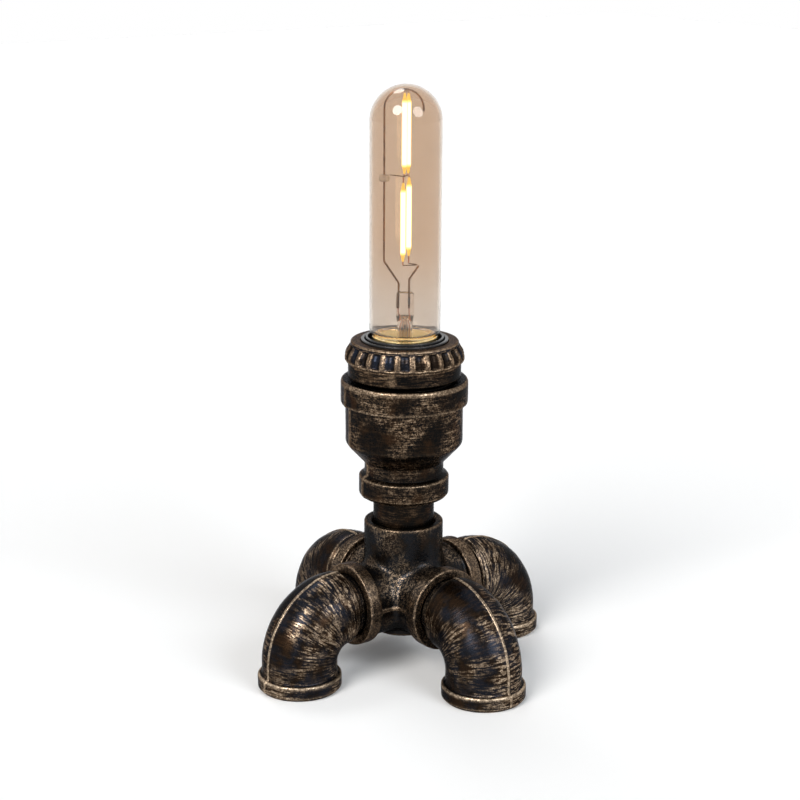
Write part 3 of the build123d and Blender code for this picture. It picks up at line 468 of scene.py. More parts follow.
def five_way_tree():
    """Tree for a cast five-way cross: arms and outlet run together, bands, sockets, cable hole.

    The casting is the region where a rule of distances is below zero. All sizes are millimetres.
    """
    boss_radius, boss_drop = 12.6, 17.1
    pocket_radius, pocket_drop = 9.0, 14.8
    cable_radius = 5.05
    line_height, margin, below = 0.3, 1.5, 18.6
    tree, size, place = shape_group("five_way_casting", {
        "Arm Radius": arm_radius, "Arm Length": arm_length, "Band Radius": 17.8,
        "Band Width": 6.0, "Outlet Radius": 17.05, "Outlet Rise": cross_top - arms_level,
        "Valley": 5.5, "Socket Radius": socket_radius, "Socket Depth": 14.0,
        "Bore Radius": casting_bore, "Unevenness": 0.12, "Cell": 0.52}, False)
    split = node_of(tree, "ShaderNodeSeparateXYZ", {"Vector": place})
    x, y, z = (out(split, axis) / MM for axis in "XYZ")
    z = z - arms_level
    wide_x, wide_y = x.math("ABSOLUTE"), y.math("ABSOLUTE")
    along, beside = wide_x.most(wide_y), wide_x.least(wide_y)
    arm_end = size["Arm Length"] - 2.0
    arms = (y.far(z) - size["Arm Radius"]).most(wide_x - arm_end).least(
        (x.far(z) - size["Arm Radius"]).most(wide_y - arm_end), size["Valley"])
    axis_distance = x.far(y)
    outlet = (axis_distance - size["Outlet Radius"]).most(z - size["Outlet Rise"], 1.2).most(-z)
    body = arms.least(outlet, size["Valley"])
    boss = (axis_distance - boss_radius).most(-z - boss_drop, 1.2).most(z)
    body = body.least(boss, 2.5)
    band_middle = size["Arm Length"] - size["Band Width"] / 2
    band = (beside.far(z) - size["Band Radius"]).most(
        (along - band_middle).math("ABSOLUTE") - size["Band Width"] / 2, 0.9)
    body = body.least(band, 1.0)
    body = body - z.math("ABSOLUTE").ramp(0.9, 0.2) * line_height
    grain = place.noise(110.0, rough=0.5) - 0.5
    body = body + grain * size["Unevenness"] * 2
    side_bore = beside.far(z) - bore_radius(size, size["Arm Length"] - along)
    top_bore = (axis_distance - bore_radius(size, size["Outlet Rise"] - z)).most(-z)
    pocket = (axis_distance - pocket_radius).most(-z - pocket_drop).most(z)
    cable_hole = (axis_distance - cable_radius).most(z)
    hollow = side_bore.least(top_bore).least(pocket).least(cable_hole)
    solid = body.most(-hollow, 0.5)
    reach = (arm_length + margin) * MM
    low, high = (arms_level - below) * MM, (cross_top + margin) * MM
    volume = node_of(tree, "GeometryNodeVolumeCube", {
        "Density": -solid, "Background": -1.0,
        "Min": (-reach, -reach, low), "Max": (reach, reach, high)})
    cells = size["Cell"] * MM
    for axis, extent in (("X", 2 * reach), ("Y", 2 * reach), ("Z", high - low)):
        span = node_of(tree, "ShaderNodeMath", {0: extent, 1: cells}, operation="DIVIDE")
        put(volume.inputs[f"Resolution {axis}"], out(span))
    surface = node_of(tree, "GeometryNodeVolumeToMesh", {"Volume": out(volume), "Threshold": 0.0},
                      resolution_mode="GRID")
    return closed_group(tree, surface)


def bore_radius(size, depth):
    """Radius of a socket and the waterway behind it, at a depth from the socket's face."""
    threaded = depth.math("LESS_THAN", size["Socket Depth"])
    mouth = (depth * -1.0 + 1.2).most(0.0)
    return size["Bore Radius"] + threaded * (size["Socket Radius"] - size["Bore Radius"]) + mouth


def carving_tree(name, sizes, rule):
    """Tree that moves the points of a turned piece toward its axis, by a rule in millimetres.

    The rule takes the sizes, the way round the axis in turns, the radius and the height.
    """
    tree, size, place = shape_group(name, sizes, True)
    split = node_of(tree, "ShaderNodeSeparateXYZ", {"Vector": place})
    x, y, z = out(split, "X"), out(split, "Y"), out(split, "Z") / MM
    radius = x.far(y) / MM
    cut = rule(size, y.math("ARCTAN2", x) / (2 * pi), radius, z)
    shrink = (radius - cut) / radius.most(0.01)
    moved = node_of(tree, "GeometryNodeSetPosition", {
        "Geometry": out(tree.nodes["Group Input"], "Geometry"),
        "Position": out(node_of(tree, "ShaderNodeCombineXYZ", {
            "X": x * shrink, "Y": y * shrink, "Z": z * MM}))})
    return closed_group(tree, moved)


def flute_tree():
    """Tree that cuts a row of scallops into a rim, deepest at its foot, with a lip below them."""
    def scallops(size, turn, radius, z):
        # from 0 in the middle of a rib to 1 in the middle of a flute
        away = ((turn * size["Count"]).math("FRACT") - 0.5).math("ABSOLUTE") * -2.0 + 1.0
        # from -1 at the edge of a flute to 0 in its middle
        middle = (away - 1.0) / (size["Rib Share"] * -1.0 + 1.0)
        across = (middle * middle * -1.0 + 1.0).most(0)
        up = (z - size["Foot Level"]) / (size["Head Level"] - size["Foot Level"])
        depth = size["Foot Depth"] + (size["Head Depth"] - size["Foot Depth"]) * up
        end = up.ramp(0.86, 0.74) * up.ramp(0.08, 0.18)
        outside = radius.ramp(size["Least Radius"] - 0.6, size["Least Radius"])
        return across * depth * end * outside

    return carving_tree("scalloped_rim", {
        "Count": 24.0, "Foot Depth": 1.5, "Head Depth": 0.75, "Foot Level": 0.0,
        "Head Level": 10.0, "Least Radius": 22.0, "Rib Share": 0.26}, scallops)


def thread_tree():
    """Tree that turns the side of a round piece into a rounded screw thread about the Z axis."""
    def thread(size, turn, radius, z):
        turns = z / size["Pitch"] - turn
        groove = (turns * (2 * pi)).math("COSINE") * -0.5 + 0.5
        return groove * size["Depth"] \
            * z.ramp(size["Bottom"], size["Bottom"] + size["Runout"]) \
            * z.ramp(size["Top"], size["Top"] - size["Runout"]) \
            * radius.ramp(size["Least Radius"] - 0.3, size["Least Radius"])

    return carving_tree("screw_thread", {
        "Pitch": lamp_pitch, "Depth": lamp_thread_depth, "Bottom": 0.0, "Top": 10.0,
        "Least Radius": 12.0, "Runout": 1.5}, thread)


# ---- materials
def attribute(tree, name, output="Fac"):
    """Value that a piece stores at each point, as a field."""
    return out(node_of(tree, "ShaderNodeAttribute", attribute_name=name), output)


def object_place(tree):
    """Place of a point in its object, in metres, as a field."""
    return out(node_of(tree, "ShaderNodeTexCoord"), "Object")


def brushed_bronze_group():
    """Bronze and cream brushed over a dark casting. Gives colour, roughness, metal and height."""
    amounts = [("Bronze", 0.7), ("Cream", 0.5), ("Rust", 0.3), ("Strokes", 0.6), ("Grain", 1.0),
               ("Edges", 1.0), ("Cover", 0.0)]
    tree, given, result = new_group(
        "brushed_bronze", "ShaderNodeTree",
        [("Dark", "NodeSocketColor", (0.004, 0.004, 0.004, 1)),
         ("Warm", "NodeSocketColor", (0.007, 0.005, 0.0035, 1))]
        + [(name, "NodeSocketFloat", value) for name, value in amounts],
        [("Color", "NodeSocketColor"), ("Roughness", "NodeSocketFloat"),
         ("Metallic", "NodeSocketFloat"), ("Height", "NodeSocketFloat")])
    amount = {name: out(given, name) for name, _ in amounts}
    place = object_place(tree)
    grain = amount["Grain"]
    fine = place.noise(grain * 1700.0, 2.0, 0.6)
    coarse = place.noise(grain * 640.0, 3.0, 0.65)
    tone = place.by("ADD", (0.31, 0.17, 0.53)).noise(120.0, 3.0)
    brush = attribute(tree, "brush", "Vector")
    wide_hairs = brush.by("MULTIPLY", (1.7, 0.15, 0.15)).noise(1.0, 3.0, 0.6)
    thin_hairs = brush.by("MULTIPLY", (3.0, 0.36, 0.36)).noise(1.0, 2.0, 0.6)
    # edge also carries painted highlights, and hollow also carries painted shade, besides the
    # casting's real edges and hollows
    edge = attribute(tree, "edge") * amount["Edges"]
    open_and_unshaded = attribute(tree, "hollow") * -1.0 + 1.0
    broad = place.noise(48.0).ramp(0.42, 0.62)         # where the brush went more than once
    stroke = (wide_hairs * 0.7 + thin_hairs * 0.3 + amount["Cover"]).ramp(0.485, 0.56)
    speck = (fine * 0.5 + coarse * 0.5 + amount["Cover"]).ramp(0.48, 0.56)
    texture = speck + amount["Strokes"] * (stroke * (speck * 0.5 + 0.5) - speck)
    bronze = (amount["Bronze"] * texture * (broad * 0.88 + 0.12) * open_and_unshaded
              + edge * (speck * 0.6 + 0.25))
    bronze = bronze.most(0).least(1)
    bright = texture * texture * broad * open_and_unshaded
    cream = (amount["Cream"] * (bright + edge * (speck * 0.7 + 0.3))).most(0).least(1)
    rust = (amount["Rust"] * tone.ramp(0.50, 0.70)).most(0).least(1)
    color = tone.ramp(0.38, 0.60).between(out(given, "Dark"), out(given, "Warm"))
    rust_paint, bronze_paint = (0.048, 0.022, 0.009, 1), (0.135, 0.074, 0.035, 1)
    cream_paint = (0.50, 0.39, 0.28, 1)
    for share, paint in ((rust, rust_paint), (bronze, bronze_paint), (cream, cream_paint)):
        color = share.between(color, paint)
    shine = bronze.most(cream)
    feed(result, {
        "Color": color, "Roughness": shine * 0.06 + 0.28 + (fine - 0.5) * 0.2,
        "Metallic": shine * 0.10 + 0.85,
        "Height": fine * 0.25 + coarse * 0.5
        + (wide_hairs + thin_hairs) * 0.5 * amount["Strokes"]})
    return tree


def surface_material(name, **constants):
    """Material with one Principled surface and its constant inputs set."""
    material = bpy.data.materials.new(name)
    material.use_nodes = True
    tree = material.node_tree
    surface = tree.nodes["Principled BSDF"]
    for label, value in constants.items():
        surface.inputs[label.replace("_", " ")].default_value = value
    return material, tree, surface


def bump(tree, height, distance):
    """Normal of a surface with a relief of a height times a distance in metres."""
    return out(node_of(tree, "ShaderNodeBump", {
        "Strength": 1.0, "Distance": distance, "Height": height}))


def cast_material(name, group, relief, amounts):
    """Rough casting with bronze brushed over it."""
    material, tree, surface = surface_material(
        name, Specular_IOR_Level=0.5, Specular_Tint=(0.30, 0.30, 0.32, 1))
    finish = node_of(tree, "ShaderNodeGroup", node_tree=group)
    feed(finish, amounts)
    feed(surface, {
        "Base Color": out(finish, "Color"), "Roughness": out(finish, "Roughness"),
        "Metallic": out(finish, "Metallic"),
        "Normal": bump(tree, out(finish, "Height"), relief)})
    return material


def mottled_material(name, first, second, roughness, scale=60.0, relief=0.00003, **constants):
    """Even material whose colour and gloss wander between two values."""
    material, tree, surface = surface_material(name, **constants)
    place = object_place(tree)
    broad, fine = place.noise(scale, 3.0).ramp(0.36, 0.64), place.noise(900.0)
    smooth, rough = roughness
    feed(surface, {
        "Base Color": broad.between((*first, 1), (*second, 1)),
        "Roughness": broad * (rough - smooth) + smooth + (fine - 0.5) * 0.08,
        "Normal": bump(tree, fine, relief)})
    return material


def glass_material(name, tint, low_tint=None, heel=0.0, ior=1.47):
    """Glass with faint streaks from its drawing. Above a heel, its cast changes with height."""
    material, tree, surface = surface_material(
        name, Metallic=0.0, Transmission_Weight=1.0, IOR=ior, Roughness=0.0)
    place = object_place(tree)
    streak = place.by("MULTIPLY", (1.0, 1.0, 0.25)).noise(120.0).ramp(0.3, 0.7)
    deeper = tuple(value * 0.97 for value in tint)
    color = streak.between((*tint, 1), (*deeper, 1))
    if low_tint:
        height = out(node_of(tree, "ShaderNodeSeparateXYZ", {"Vector": place}), "Z") - heel
        color = height.ramp(0.004, 0.045).between((*low_tint, 1), color)
        color = height.ramp(-0.0005, 0.002).between((0.98, 0.97, 0.96, 1), color)
    put(surface.inputs["Base Color"], color)
    return material


def filament_material(name, glow, color):
    """Yellow coating that glows white along its middle and stays yellow at its ends."""
    material, tree, surface = surface_material(name, Roughness=0.6)
    lit = attribute(tree, "lit")
    grain = object_place(tree).noise(1400.0).ramp(0.35, 0.65)
    feed(surface, {
        "Base Color": grain.between((0.90, 0.62, 0.10, 1), (0.95, 0.68, 0.20, 1)),
        "Emission Color": lit.between((1.0, 0.72, 0.12, 1), color),
        "Emission Strength": lit * glow + 0.8})
    return material


# name, depth of the grain in metres, amounts of bronze, cream and rust, and other group inputs
# the bluish Dark of the legs and the ring is partly their paint's own tint and partly a painted
# cool reflected sheen
CASTINGS = {
    "cross": ("cross_bronze_over_black", 0.00015, 0.38, 0.28, 0.2, {
        "Strokes": 0.0, "Grain": 1.3, "Edges": 1.3, "Dark": (0.010, 0.011, 0.013, 1),
        "Warm": (0.009, 0.008, 0.007, 1)}),
    "leg": ("leg_bronze_over_black", 0.00015, 0.95, 0.95, 0.3, {
        "Strokes": 0.9, "Edges": 1.2, "Cover": 0.006, "Dark": (0.009, 0.011, 0.016, 1)}),
    "reducer": ("reducer_bronze_over_black", 0.00015, 0.95, 0.5, 0.4, {
        "Strokes": 0.6, "Edges": 1.2}),
    "nipple": ("nipple_dark_bronze", 0.00008, 0.35, 0.05, 0.3, {"Strokes": 0.9}),
    "cup": ("cup_worn_paint", 0.00006, 0.9, 0.25, 0.2, {"Strokes": 0.9}),
    "ring": ("ring_worn_paint", 0.00005, 0.28, 0.25, 0.1, {
        "Strokes": 0.4, "Edges": 2.5, "Dark": (0.010, 0.013, 0.021, 1)}),
}
# name, the two colours, the two roughnesses, and what is set besides
EVEN = {
    "insulator": ("black_phenolic", (0.006, 0.006, 0.007), (0.011, 0.010, 0.010), (0.22, 0.32),
                  {"Specular_IOR_Level": 0.4}),
    "gold": ("gold_plated_brass", (0.93, 0.70, 0.33), (0.98, 0.78, 0.42), (0.24, 0.36),
             {"Metallic": 0.9}),
    # the cement glows faintly, as painted light from the filaments
    "cement": ("basing_cement_painted_glow", (0.86, 0.68, 0.34), (0.94, 0.78, 0.44), (0.55, 0.7),
               {"relief": 0.00006, "Emission_Color": (1.0, 0.78, 0.36, 1),
                "Emission_Strength": 0.5}),
    "bead": ("milky_glass", (0.80, 0.76, 0.70), (0.92, 0.90, 0.86), (0.05, 0.15),
             {"scale": 900.0, "relief": 0.00008, "Transmission_Weight": 0.5, "Metallic": 0.0}),
    "brass": ("brass", (0.62, 0.42, 0.16), (0.72, 0.52, 0.24), (0.26, 0.40), {"Metallic": 1.0}),
    "spring": ("spring_steel", (0.42, 0.41, 0.40), (0.50, 0.50, 0.50), (0.25, 0.35),
               {"Metallic": 1.0}),
    "plated": ("plated_steel", (0.55, 0.55, 0.53), (0.62, 0.61, 0.57), (0.28, 0.42),
               {"Metallic": 1.0}),
    "rubber": ("black_rubber", (0.010, 0.010, 0.010), (0.018, 0.017, 0.016), (0.60, 0.75), {}),
    "glazed": ("black_vitrite", (0.012, 0.012, 0.014), (0.020, 0.020, 0.022), (0.12, 0.20), {}),
    "board": ("driver_board_resin", (0.03, 0.10, 0.05), (0.05, 0.14, 0.07), (0.35, 0.5), {}),
    "wire": ("browned_wire", (0.17, 0.085, 0.035), (0.30, 0.17, 0.08), (0.22, 0.38),
             {"scale": 160.0, "Metallic": 1.0}),
    "lead": ("copper_clad_lead", (0.60, 0.27, 0.17), (0.85, 0.46, 0.32), (0.3, 0.45),
             {"scale": 160.0, "Metallic": 1.0}),
}
library = {}


def make_materials(scene):
    """Every material of the lamp, made once."""
    if library:
        return library
    casting, bulb = scene.lamp_casting, scene.lamp_bulb
    group = brushed_bronze_group()
    for key, (name, relief, bronze, cream, rust, others) in CASTINGS.items():
        library[key] = cast_material(name, group, relief, {
            "Bronze": bronze * casting.bronze, "Cream": cream * casting.bronze,
            "Rust": rust * casting.rust, **others})
    for key, (name, first, second, roughness, others) in EVEN.items():
        library[key] = mottled_material(name, first, second, roughness, **others)
    library["glass"] = glass_material("tinted_bulb_glass", tuple(bulb.tint),
                                      tuple(bulb.low_tint), high_mm("cap_shell")[2] * MM)
    library["stem"] = glass_material("stem_glass", (0.96, 0.90, 0.84), ior=1.5)
    library["filament"] = filament_material("filament_coating", bulb.glow, (*bulb.glow_color, 1))
    return library


# ---- pieces
def turned_about(rows, degrees_round):
    """The same rows of points turned about the lamp's axis."""
    c, s = cos(radians(degrees_round)), sin(radians(degrees_round))
    return [[(x * c - y * s, x * s + y * c, z) for x, y, z in row] for row in rows]


def elbow_line(s, reach, bend):
    """Point and outward normal of a street elbow's middle line, at a distance from its male end."""
    start_x = arm_length - elbow_entry
    first = reach - bend - start_x
    arc = bend * pi / 2
    if s <= first:
        return (start_x + s, arms_level), (0.0, 1.0)
    if s <= first + arc:
        turn = (s - first) / bend
        centre = (reach - bend, arms_level - bend)
        return (centre[0] + bend * sin(turn), centre[1] + bend * cos(turn)), (sin(turn), cos(turn))
    return (reach, arms_level - bend - (s - first - arc)), (1.0, 0.0)


def elbow_rows():
    """Rows of points of one leg, and for each the brush's way (along the pipe, then round it) and
    how much bronze lies on it as on a line."""
    near_line = [distance / elbow_radius for distance in (0.0, 0.25, 0.45, 0.6, 0.8, 1.3)]
    steps = 50
    angles = near_line + [near_line[-1] + (pi - 2 * near_line[-1]) * k / steps
                          for k in range(1, steps)]
    angles += [pi - turn for turn in reversed(near_line)]
    angles += [2 * pi - turn for turn in reversed(angles[1:-1])]
    foot_band = 18.25
    bend = 19.4
    reach = high_mm("leg_elbow_right")[0] - foot_band
    first = reach - bend - (arm_length - elbow_entry)
    foot = first + bend * pi / 2 + arms_level - bend
    shoulder = 12.5                # where the male thread ends
    neck, throat = 13.1, 10.5      # radii outside and inside the male end
    outside = [
        (0.0, throat), (0.0, 12.4, 0.3), (0.8, neck), (shoulder, neck, 0.1),
        (shoulder, 14.6, 0.7), (first - 0.6, 15.9, 1.4), (first + 1.6, elbow_radius),
        (foot - 9.5, elbow_radius), (foot - 6.8, 16.05, 1.0), (foot - 6.4, 17.7, 0.9),
        (foot - 5.4, 17.85, 0.8), (foot - 1.4, 17.85, 1.0), (foot - 0.05, 16.7, 0.7),
        (foot, 14.6, 0.3), (foot - 1.4, socket_radius, 0.2)]
    inside = [
        (foot - 12.0, socket_radius, 0.2), (foot - 12.3, casting_bore, 0.4),
        (first + 1.0, casting_bore, 0.8), (first - 0.6, throat, 0.8)]
    outline = divided(rounded([(p[1], p[0]) + p[2:] for p in outside + inside]), 0.75)
    male_depth, female_depth = 0.55, 0.5
    line_above, line_under, unevenness = 0.38, 0.22, 0.16
    rows, brush, lines = [], [], []
    for r, s in outline:
        (mx, mz), (nx, nz) = elbow_line(s, reach, bend)
        outer = r > 12.6 and not (s > foot - 12.2 and r < 14.2)
        cast = outer and s > shoulder
        male = outer and 0.9 < s < shoulder - 0.2 and r < 13.4
        female = foot - 12.0 < s < foot - 1.3 and r < 13.3
        row = []
        for angle in angles:
            radius, line = r, 0.0
            if male:
                radius -= male_depth * (1 - ridge(s / pipe_pitch - angle / (2 * pi)))
            if female:
                radius -= female_depth * ridge((s - foot) / pipe_pitch + angle / (2 * pi))
            if outer and s > shoulder + 0.4:
                above = abs((angle + pi) % (2 * pi) - pi) * r
                under = abs(angle - pi) * r
                fade = min(1, (s - shoulder) / 1.0, max(0, (foot - 0.9 - s) / 0.8))
                radius += fade * line_above * clipped((0.72 - above) / 0.24)
                radius += fade * line_under * clipped((0.70 - under) / 0.30)
                line = fade * clipped((0.72 - above) / 0.2) * (0.65 + 0.5 * lumps(s, angle, 0, 5.0))
                line = max(line, 0.9 * (foot - 6.6 < s < foot - 5.9))
            up, y = radius * cos(angle), radius * sin(angle)
            x, z = mx + nx * up, mz + nz * up
            if cast:
                shift = unevenness * lumps(x, y, z, 7.0)
                shift *= min(1, (s - shoulder) / 2, max(0, foot - s))
                x, z = x + nx * shift * cos(angle), z + nz * shift * cos(angle)
                y += shift * sin(angle)
            row.append((x, y, z))
            brush.append((s, elbow_radius * cos(angle), elbow_radius * sin(angle)))
            lines.append(line)
        rows.append(row)
    return rows, brush, np.array(lines)


def smooth_route(points, bends, steps=7):
    """Points along straight runs with rounded bends."""
    route = [Vector(points[0])]
    for index in range(1, len(points) - 1):
        corner = Vector(points[index])
        before = (Vector(points[index - 1]) - corner).normalized()
        after = (Vector(points[index + 1]) - corner).normalized()
        angle = before.angle(after)
        reach = bends[index - 1] / tan(angle / 2)
        start, end = corner + before * reach, corner + after * reach
        middle = (before + after).normalized()
        centre = corner + middle * (bends[index - 1] / sin(angle / 2))
        for step in range(steps + 1):
            t = step / steps
            spoke = (start - centre).lerp(end - centre, t).normalized()
            route.append(centre + spoke * bends[index - 1])
    route.append(Vector(points[-1]))
    return route


def wire_rows(route, radius, segments=14):
    """Rows of points round a wire, with softened ends."""
    last = len(route) - 1
    rings_at = {0: [(0.75, 0.0), (1.0, 0.3)], last: [(1.0, -0.3), (0.75, 0.0)]}
    rows = [[tuple(route[0])]]
    side = None
    for index, point in enumerate(route):
        way = (route[min(index + 1, last)] - route[max(index - 1, 0)]).normalized()
        if side is None:
            side = way.orthogonal().normalized()
        side = (side - way * side.dot(way)).normalized()
        across = way.cross(side)
        for size, inset in rings_at.get(index, [(1.0, 0.0)]):
            rows.append([tuple(point + way * (inset * radius) + size * radius * (
                side * cos(2 * pi * k / segments) + across * sin(2 * pi * k / segments)))
                for k in range(segments)])
    return rows + [[tuple(route[-1])]]


def in_bulb(x, y, height):
    """Point in the bulb's own axes, turned to the way the bulb stands."""
    c, s = cos(bulb_turn), sin(bulb_turn)
    return Vector((x * c - y * s, x * s + y * c, bulb_foot + height))


def finished_nodes(nodes, material, bevel=0.0):
    """Give CAD nodes a finish, and where a bevel is given, welded seams and softened edges."""
    for node in nodes:
        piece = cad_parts[node]
        piece.data.materials.clear()
        piece.data.materials.append(material)
        if bevel:
            weld = piece.modifiers.new("weld", "WELD")
            weld.merge_threshold = 0.000002
            edge = piece.modifiers.new("softened", "BEVEL")
            edge.width = bevel
            edge.segments = 2
            edge.limit_method = "ANGLE"
            edge.angle_limit = radians(40)


# ---- settings
class LampCastingSettings(bpy.types.PropertyGroup):
    """Finish and mesh fineness of the castings"""

    bronze: bpy.props.FloatProperty(
        name="Bronze", description="How much bronze is brushed over the black",
        default=1.0, min=0.0, max=2.0)
    rust: bpy.props.FloatProperty(
        name="Rust brown", description="How much brown shows between the brush strokes",
        default=1.0, min=0.0, max=2.0)
    cell: bpy.props.FloatProperty(
        name="Cell", description="Size of the cells that the cross is cast in",
        default=0.00052, min=0.0004, max=0.002, unit="LENGTH", precision=5)
    flutes: bpy.props.IntProperty(
        name="Flutes", description="Number of scallops round the lampholder's ring",
        default=24, min=6, max=60)


class LampBulbSettings(bpy.types.PropertyGroup):
    """Glass and light of the bulb"""

    tint: bpy.props.FloatVectorProperty(
        name="Glass tint", description="Cast of the bulb's glass",
        default=(0.738, 0.604, 0.488), min=0.0, max=1.0, size=3, subtype="COLOR")
    low_tint: bpy.props.FloatVectorProperty(
        name="Low tint", description="Cast of the bulb's glass just above its cap",
        default=(0.748, 0.674, 0.606), min=0.0, max=1.0, size=3, subtype="COLOR")
    glow: bpy.props.FloatProperty(
        name="Glow", description="Strength of the filaments' light", default=2.4, min=0.0)
    glow_color: bpy.props.FloatVectorProperty(
        name="Glow color", description="Color of the filaments' light",
        default=(1.0, 0.90, 0.66), min=0.0, max=1.0, size=3, subtype="COLOR")


class LampStageSettings(bpy.types.PropertyGroup):
    """Camera and light round the lamp"""

    camera_place: bpy.props.FloatVectorProperty(
        name="Camera place", description="Where the camera stands",
        default=(-0.4737, -0.6087, 0.32995), size=3, unit="LENGTH", precision=4)
    heading: bpy.props.FloatProperty(
        name="Heading", description="Way the camera looks, clockwise from the lamp's back",
        default=radians(37.89), unit="ROTATION")
    tilt: bpy.props.FloatProperty(
        name="Tilt", description="How far the camera looks down",
        default=radians(15.95), unit="ROTATION")
    lens: bpy.props.FloatProperty(
        name="Lens", description="Focal length of the camera", default=84.56, unit="CAMERA")
    sky: bpy.props.FloatProperty(
        name="Sky", description="Strength of the even light from all round", default=0.2,
        min=0.0)
    key: bpy.props.FloatProperty(
        name="Key light", description="Strength of the large light above the camera",
        default=2.45, min=0.0)


# ---- operators
class LampCross(bpy.types.Operator):
    """Build the five-way cross, with its run-together arms, bands and sockets"""

    bl_idname = "pipe_lamp.cross"
    bl_label = "Cross"

    def execute(self, context):
        cell = context.scene.lamp_casting.cell
        material = make_materials(context.scene)["cross"]
        mesh = baked_by_nodes(bpy.data.meshes.new("casting_seed"), five_way_tree(), {
            "Cell": cell / MM, "Material": material}, "cross_casting")
        if len(mesh.polygons) < 1000:
            raise RuntimeError("the cross came out empty")
        points, normals = vectors(mesh) / MM, vectors(mesh, "normal")
        x, y, z = points[:, 0], points[:, 1], points[:, 2] - arms_level
        along_x = np.abs(x) > np.abs(y)
        on_outlet = (z > 17) & (np.hypot(x, y) < 21)       # above the arms, round the axis
        brush = np.stack([np.where(along_x, x, y), np.where(along_x, y, x), z], axis=1)
        brush[on_outlet] = np.stack([z, x, y], axis=1)[on_outlet]
        half_width, rise, band = 0.9, 0.3, 24.5            # parting line, and start of the bands
        parting = np.maximum(0, 1 - (z / half_width) ** 2)
        parting *= (np.maximum(np.abs(x), np.abs(y)) < 24) & (np.abs(normals[:, 2]) < 0.5)
        points += normals * (rise * parting)[:, None]
        mesh.vertices.foreach_set("co", (points * MM).ravel())
        piece = finish_piece(mesh, material, nodes=("cross_fitting",), brush=brush)
        touch_up(piece, lambda x, y, z: np.clip(parting * 1.6, 0, 1))
        touch_up(piece, lambda x, y, z: 0.42 * (np.abs(x) > band) + 0.22 * (np.abs(y) > band))
        return {"FINISHED"}


class LampLegs(bpy.types.Operator):
    """Build the four street elbows that the lamp stands on"""

    bl_idname = "pipe_lamp.legs"
    bl_label = "Legs"

    def execute(self, context):
        material = make_materials(context.scene)["leg"]
        rows, brush, lines = elbow_rows()
        for number, (side, degrees_round) in enumerate(SIDES.items()):
            mesh = grid_mesh(f"elbow_{side}", turned_about(rows, degrees_round), True)
            shifted = np.array(brush) + number * 37.0      # other strokes on each leg
            piece = finish_piece(mesh, material, nodes=(f"leg_elbow_{side}",),
                                 brush=shifted)
            touch_up(piece, lambda x, y, z: lines)
        return {"FINISHED"}


class LampReducer(bpy.types.Operator):
    """Build the nipple and the bell reducer on it"""

    bl_idname = "pipe_lamp.reducer"
    bl_label = "Nipple and reducer"

    def execute(self, context):
        materials = make_materials(context.scene)
        low, high = heights_mm("pipe_nipple")
        bore, tip = 10.4, 12.3
        turned_piece("nipple_pipe", [
            (bore, low, 0.3), (tip, low, 0.2), (pipe_radius, low + 0.8, 0.2),
            (pipe_radius, high - 0.8, 0.2), (tip, high, 0.2), (bore, high, 0.3)],
            materials["nipple"], nodes=("pipe_nipple",), uneven=0.03)
        foot, top = heights_mm("reducer_coupling")
        bell_band = radius_mm("reducer_coupling")
        foot_band, neck, belly, mouth = 19.3, 16.95, 25.05, 21.06
        bell = turned_piece("bell_reducer", [
            (14.1, foot, 0.3), (18.0, foot, 1.2), (foot_band, foot + 1.5, 1.2),
            (foot_band, foot + 8.9, 0.5), (18.8, foot + 9.25, 0.4), (neck, foot + 10.2, 0.5),
            (neck, foot + 15.4, 3.2), (belly, foot + 24.0, 3.6), (belly, top - 10.4, 0.8),
            (bell_band - 0.35, top - 10.4, 0.3), (bell_band - 0.1, top - 9.8, 0.5),
            (bell_band - 0.1, top, 2.9), (23.9, top, 0.5), (mouth, top - 2.8, 0.5),
            (mouth, foot + 28.9, 0.5), (20.6, foot + 25.2, 0.8),
            (casting_bore, foot + 15.4, 1.0), (casting_bore, foot + 14.0, 0.1),
            (socket_radius, foot + 14.0, 0.1), (socket_radius, foot + 1.2, 0.2)],
            materials["reducer"], nodes=("reducer_coupling",), segments=200,
            longest=0.8, uneven=0.09,
            reshape=lambda r, z, angle: mould_line(r, z, angle) if r > neck - 0.45 else (r, z))
        touch_up(bell, lambda x, y, z: 0.75 * (np.hypot(x, y) > neck - 0.15) * np.clip(
            1.6 - beside_way(x, y, mould_way), 0, 1))
        # painted highlight of bronze round the rim's outer edge, and black as painted shade on the
        # rim's top, inside it and in the bell
        shaded_rim_radius, shaded_rim_depth = 26.5, 2.5
        touch_up(bell, lambda x, y, z: (np.hypot(x, y) > 25.5) * np.clip(
            (z - top + 2.2) / 0.4, 0, 0.7))
        touch_up(bell, lambda x, y, z: -np.clip((shaded_rim_radius - np.hypot(x, y)) / 0.4, 0, 1)
                 * (z > top - shaded_rim_depth))
        touch_up(bell, lambda x, y, z: -1.0 * (np.hypot(x, y) < 22.0) * (z > foot + 25.5))
        return {"FINISHED"}


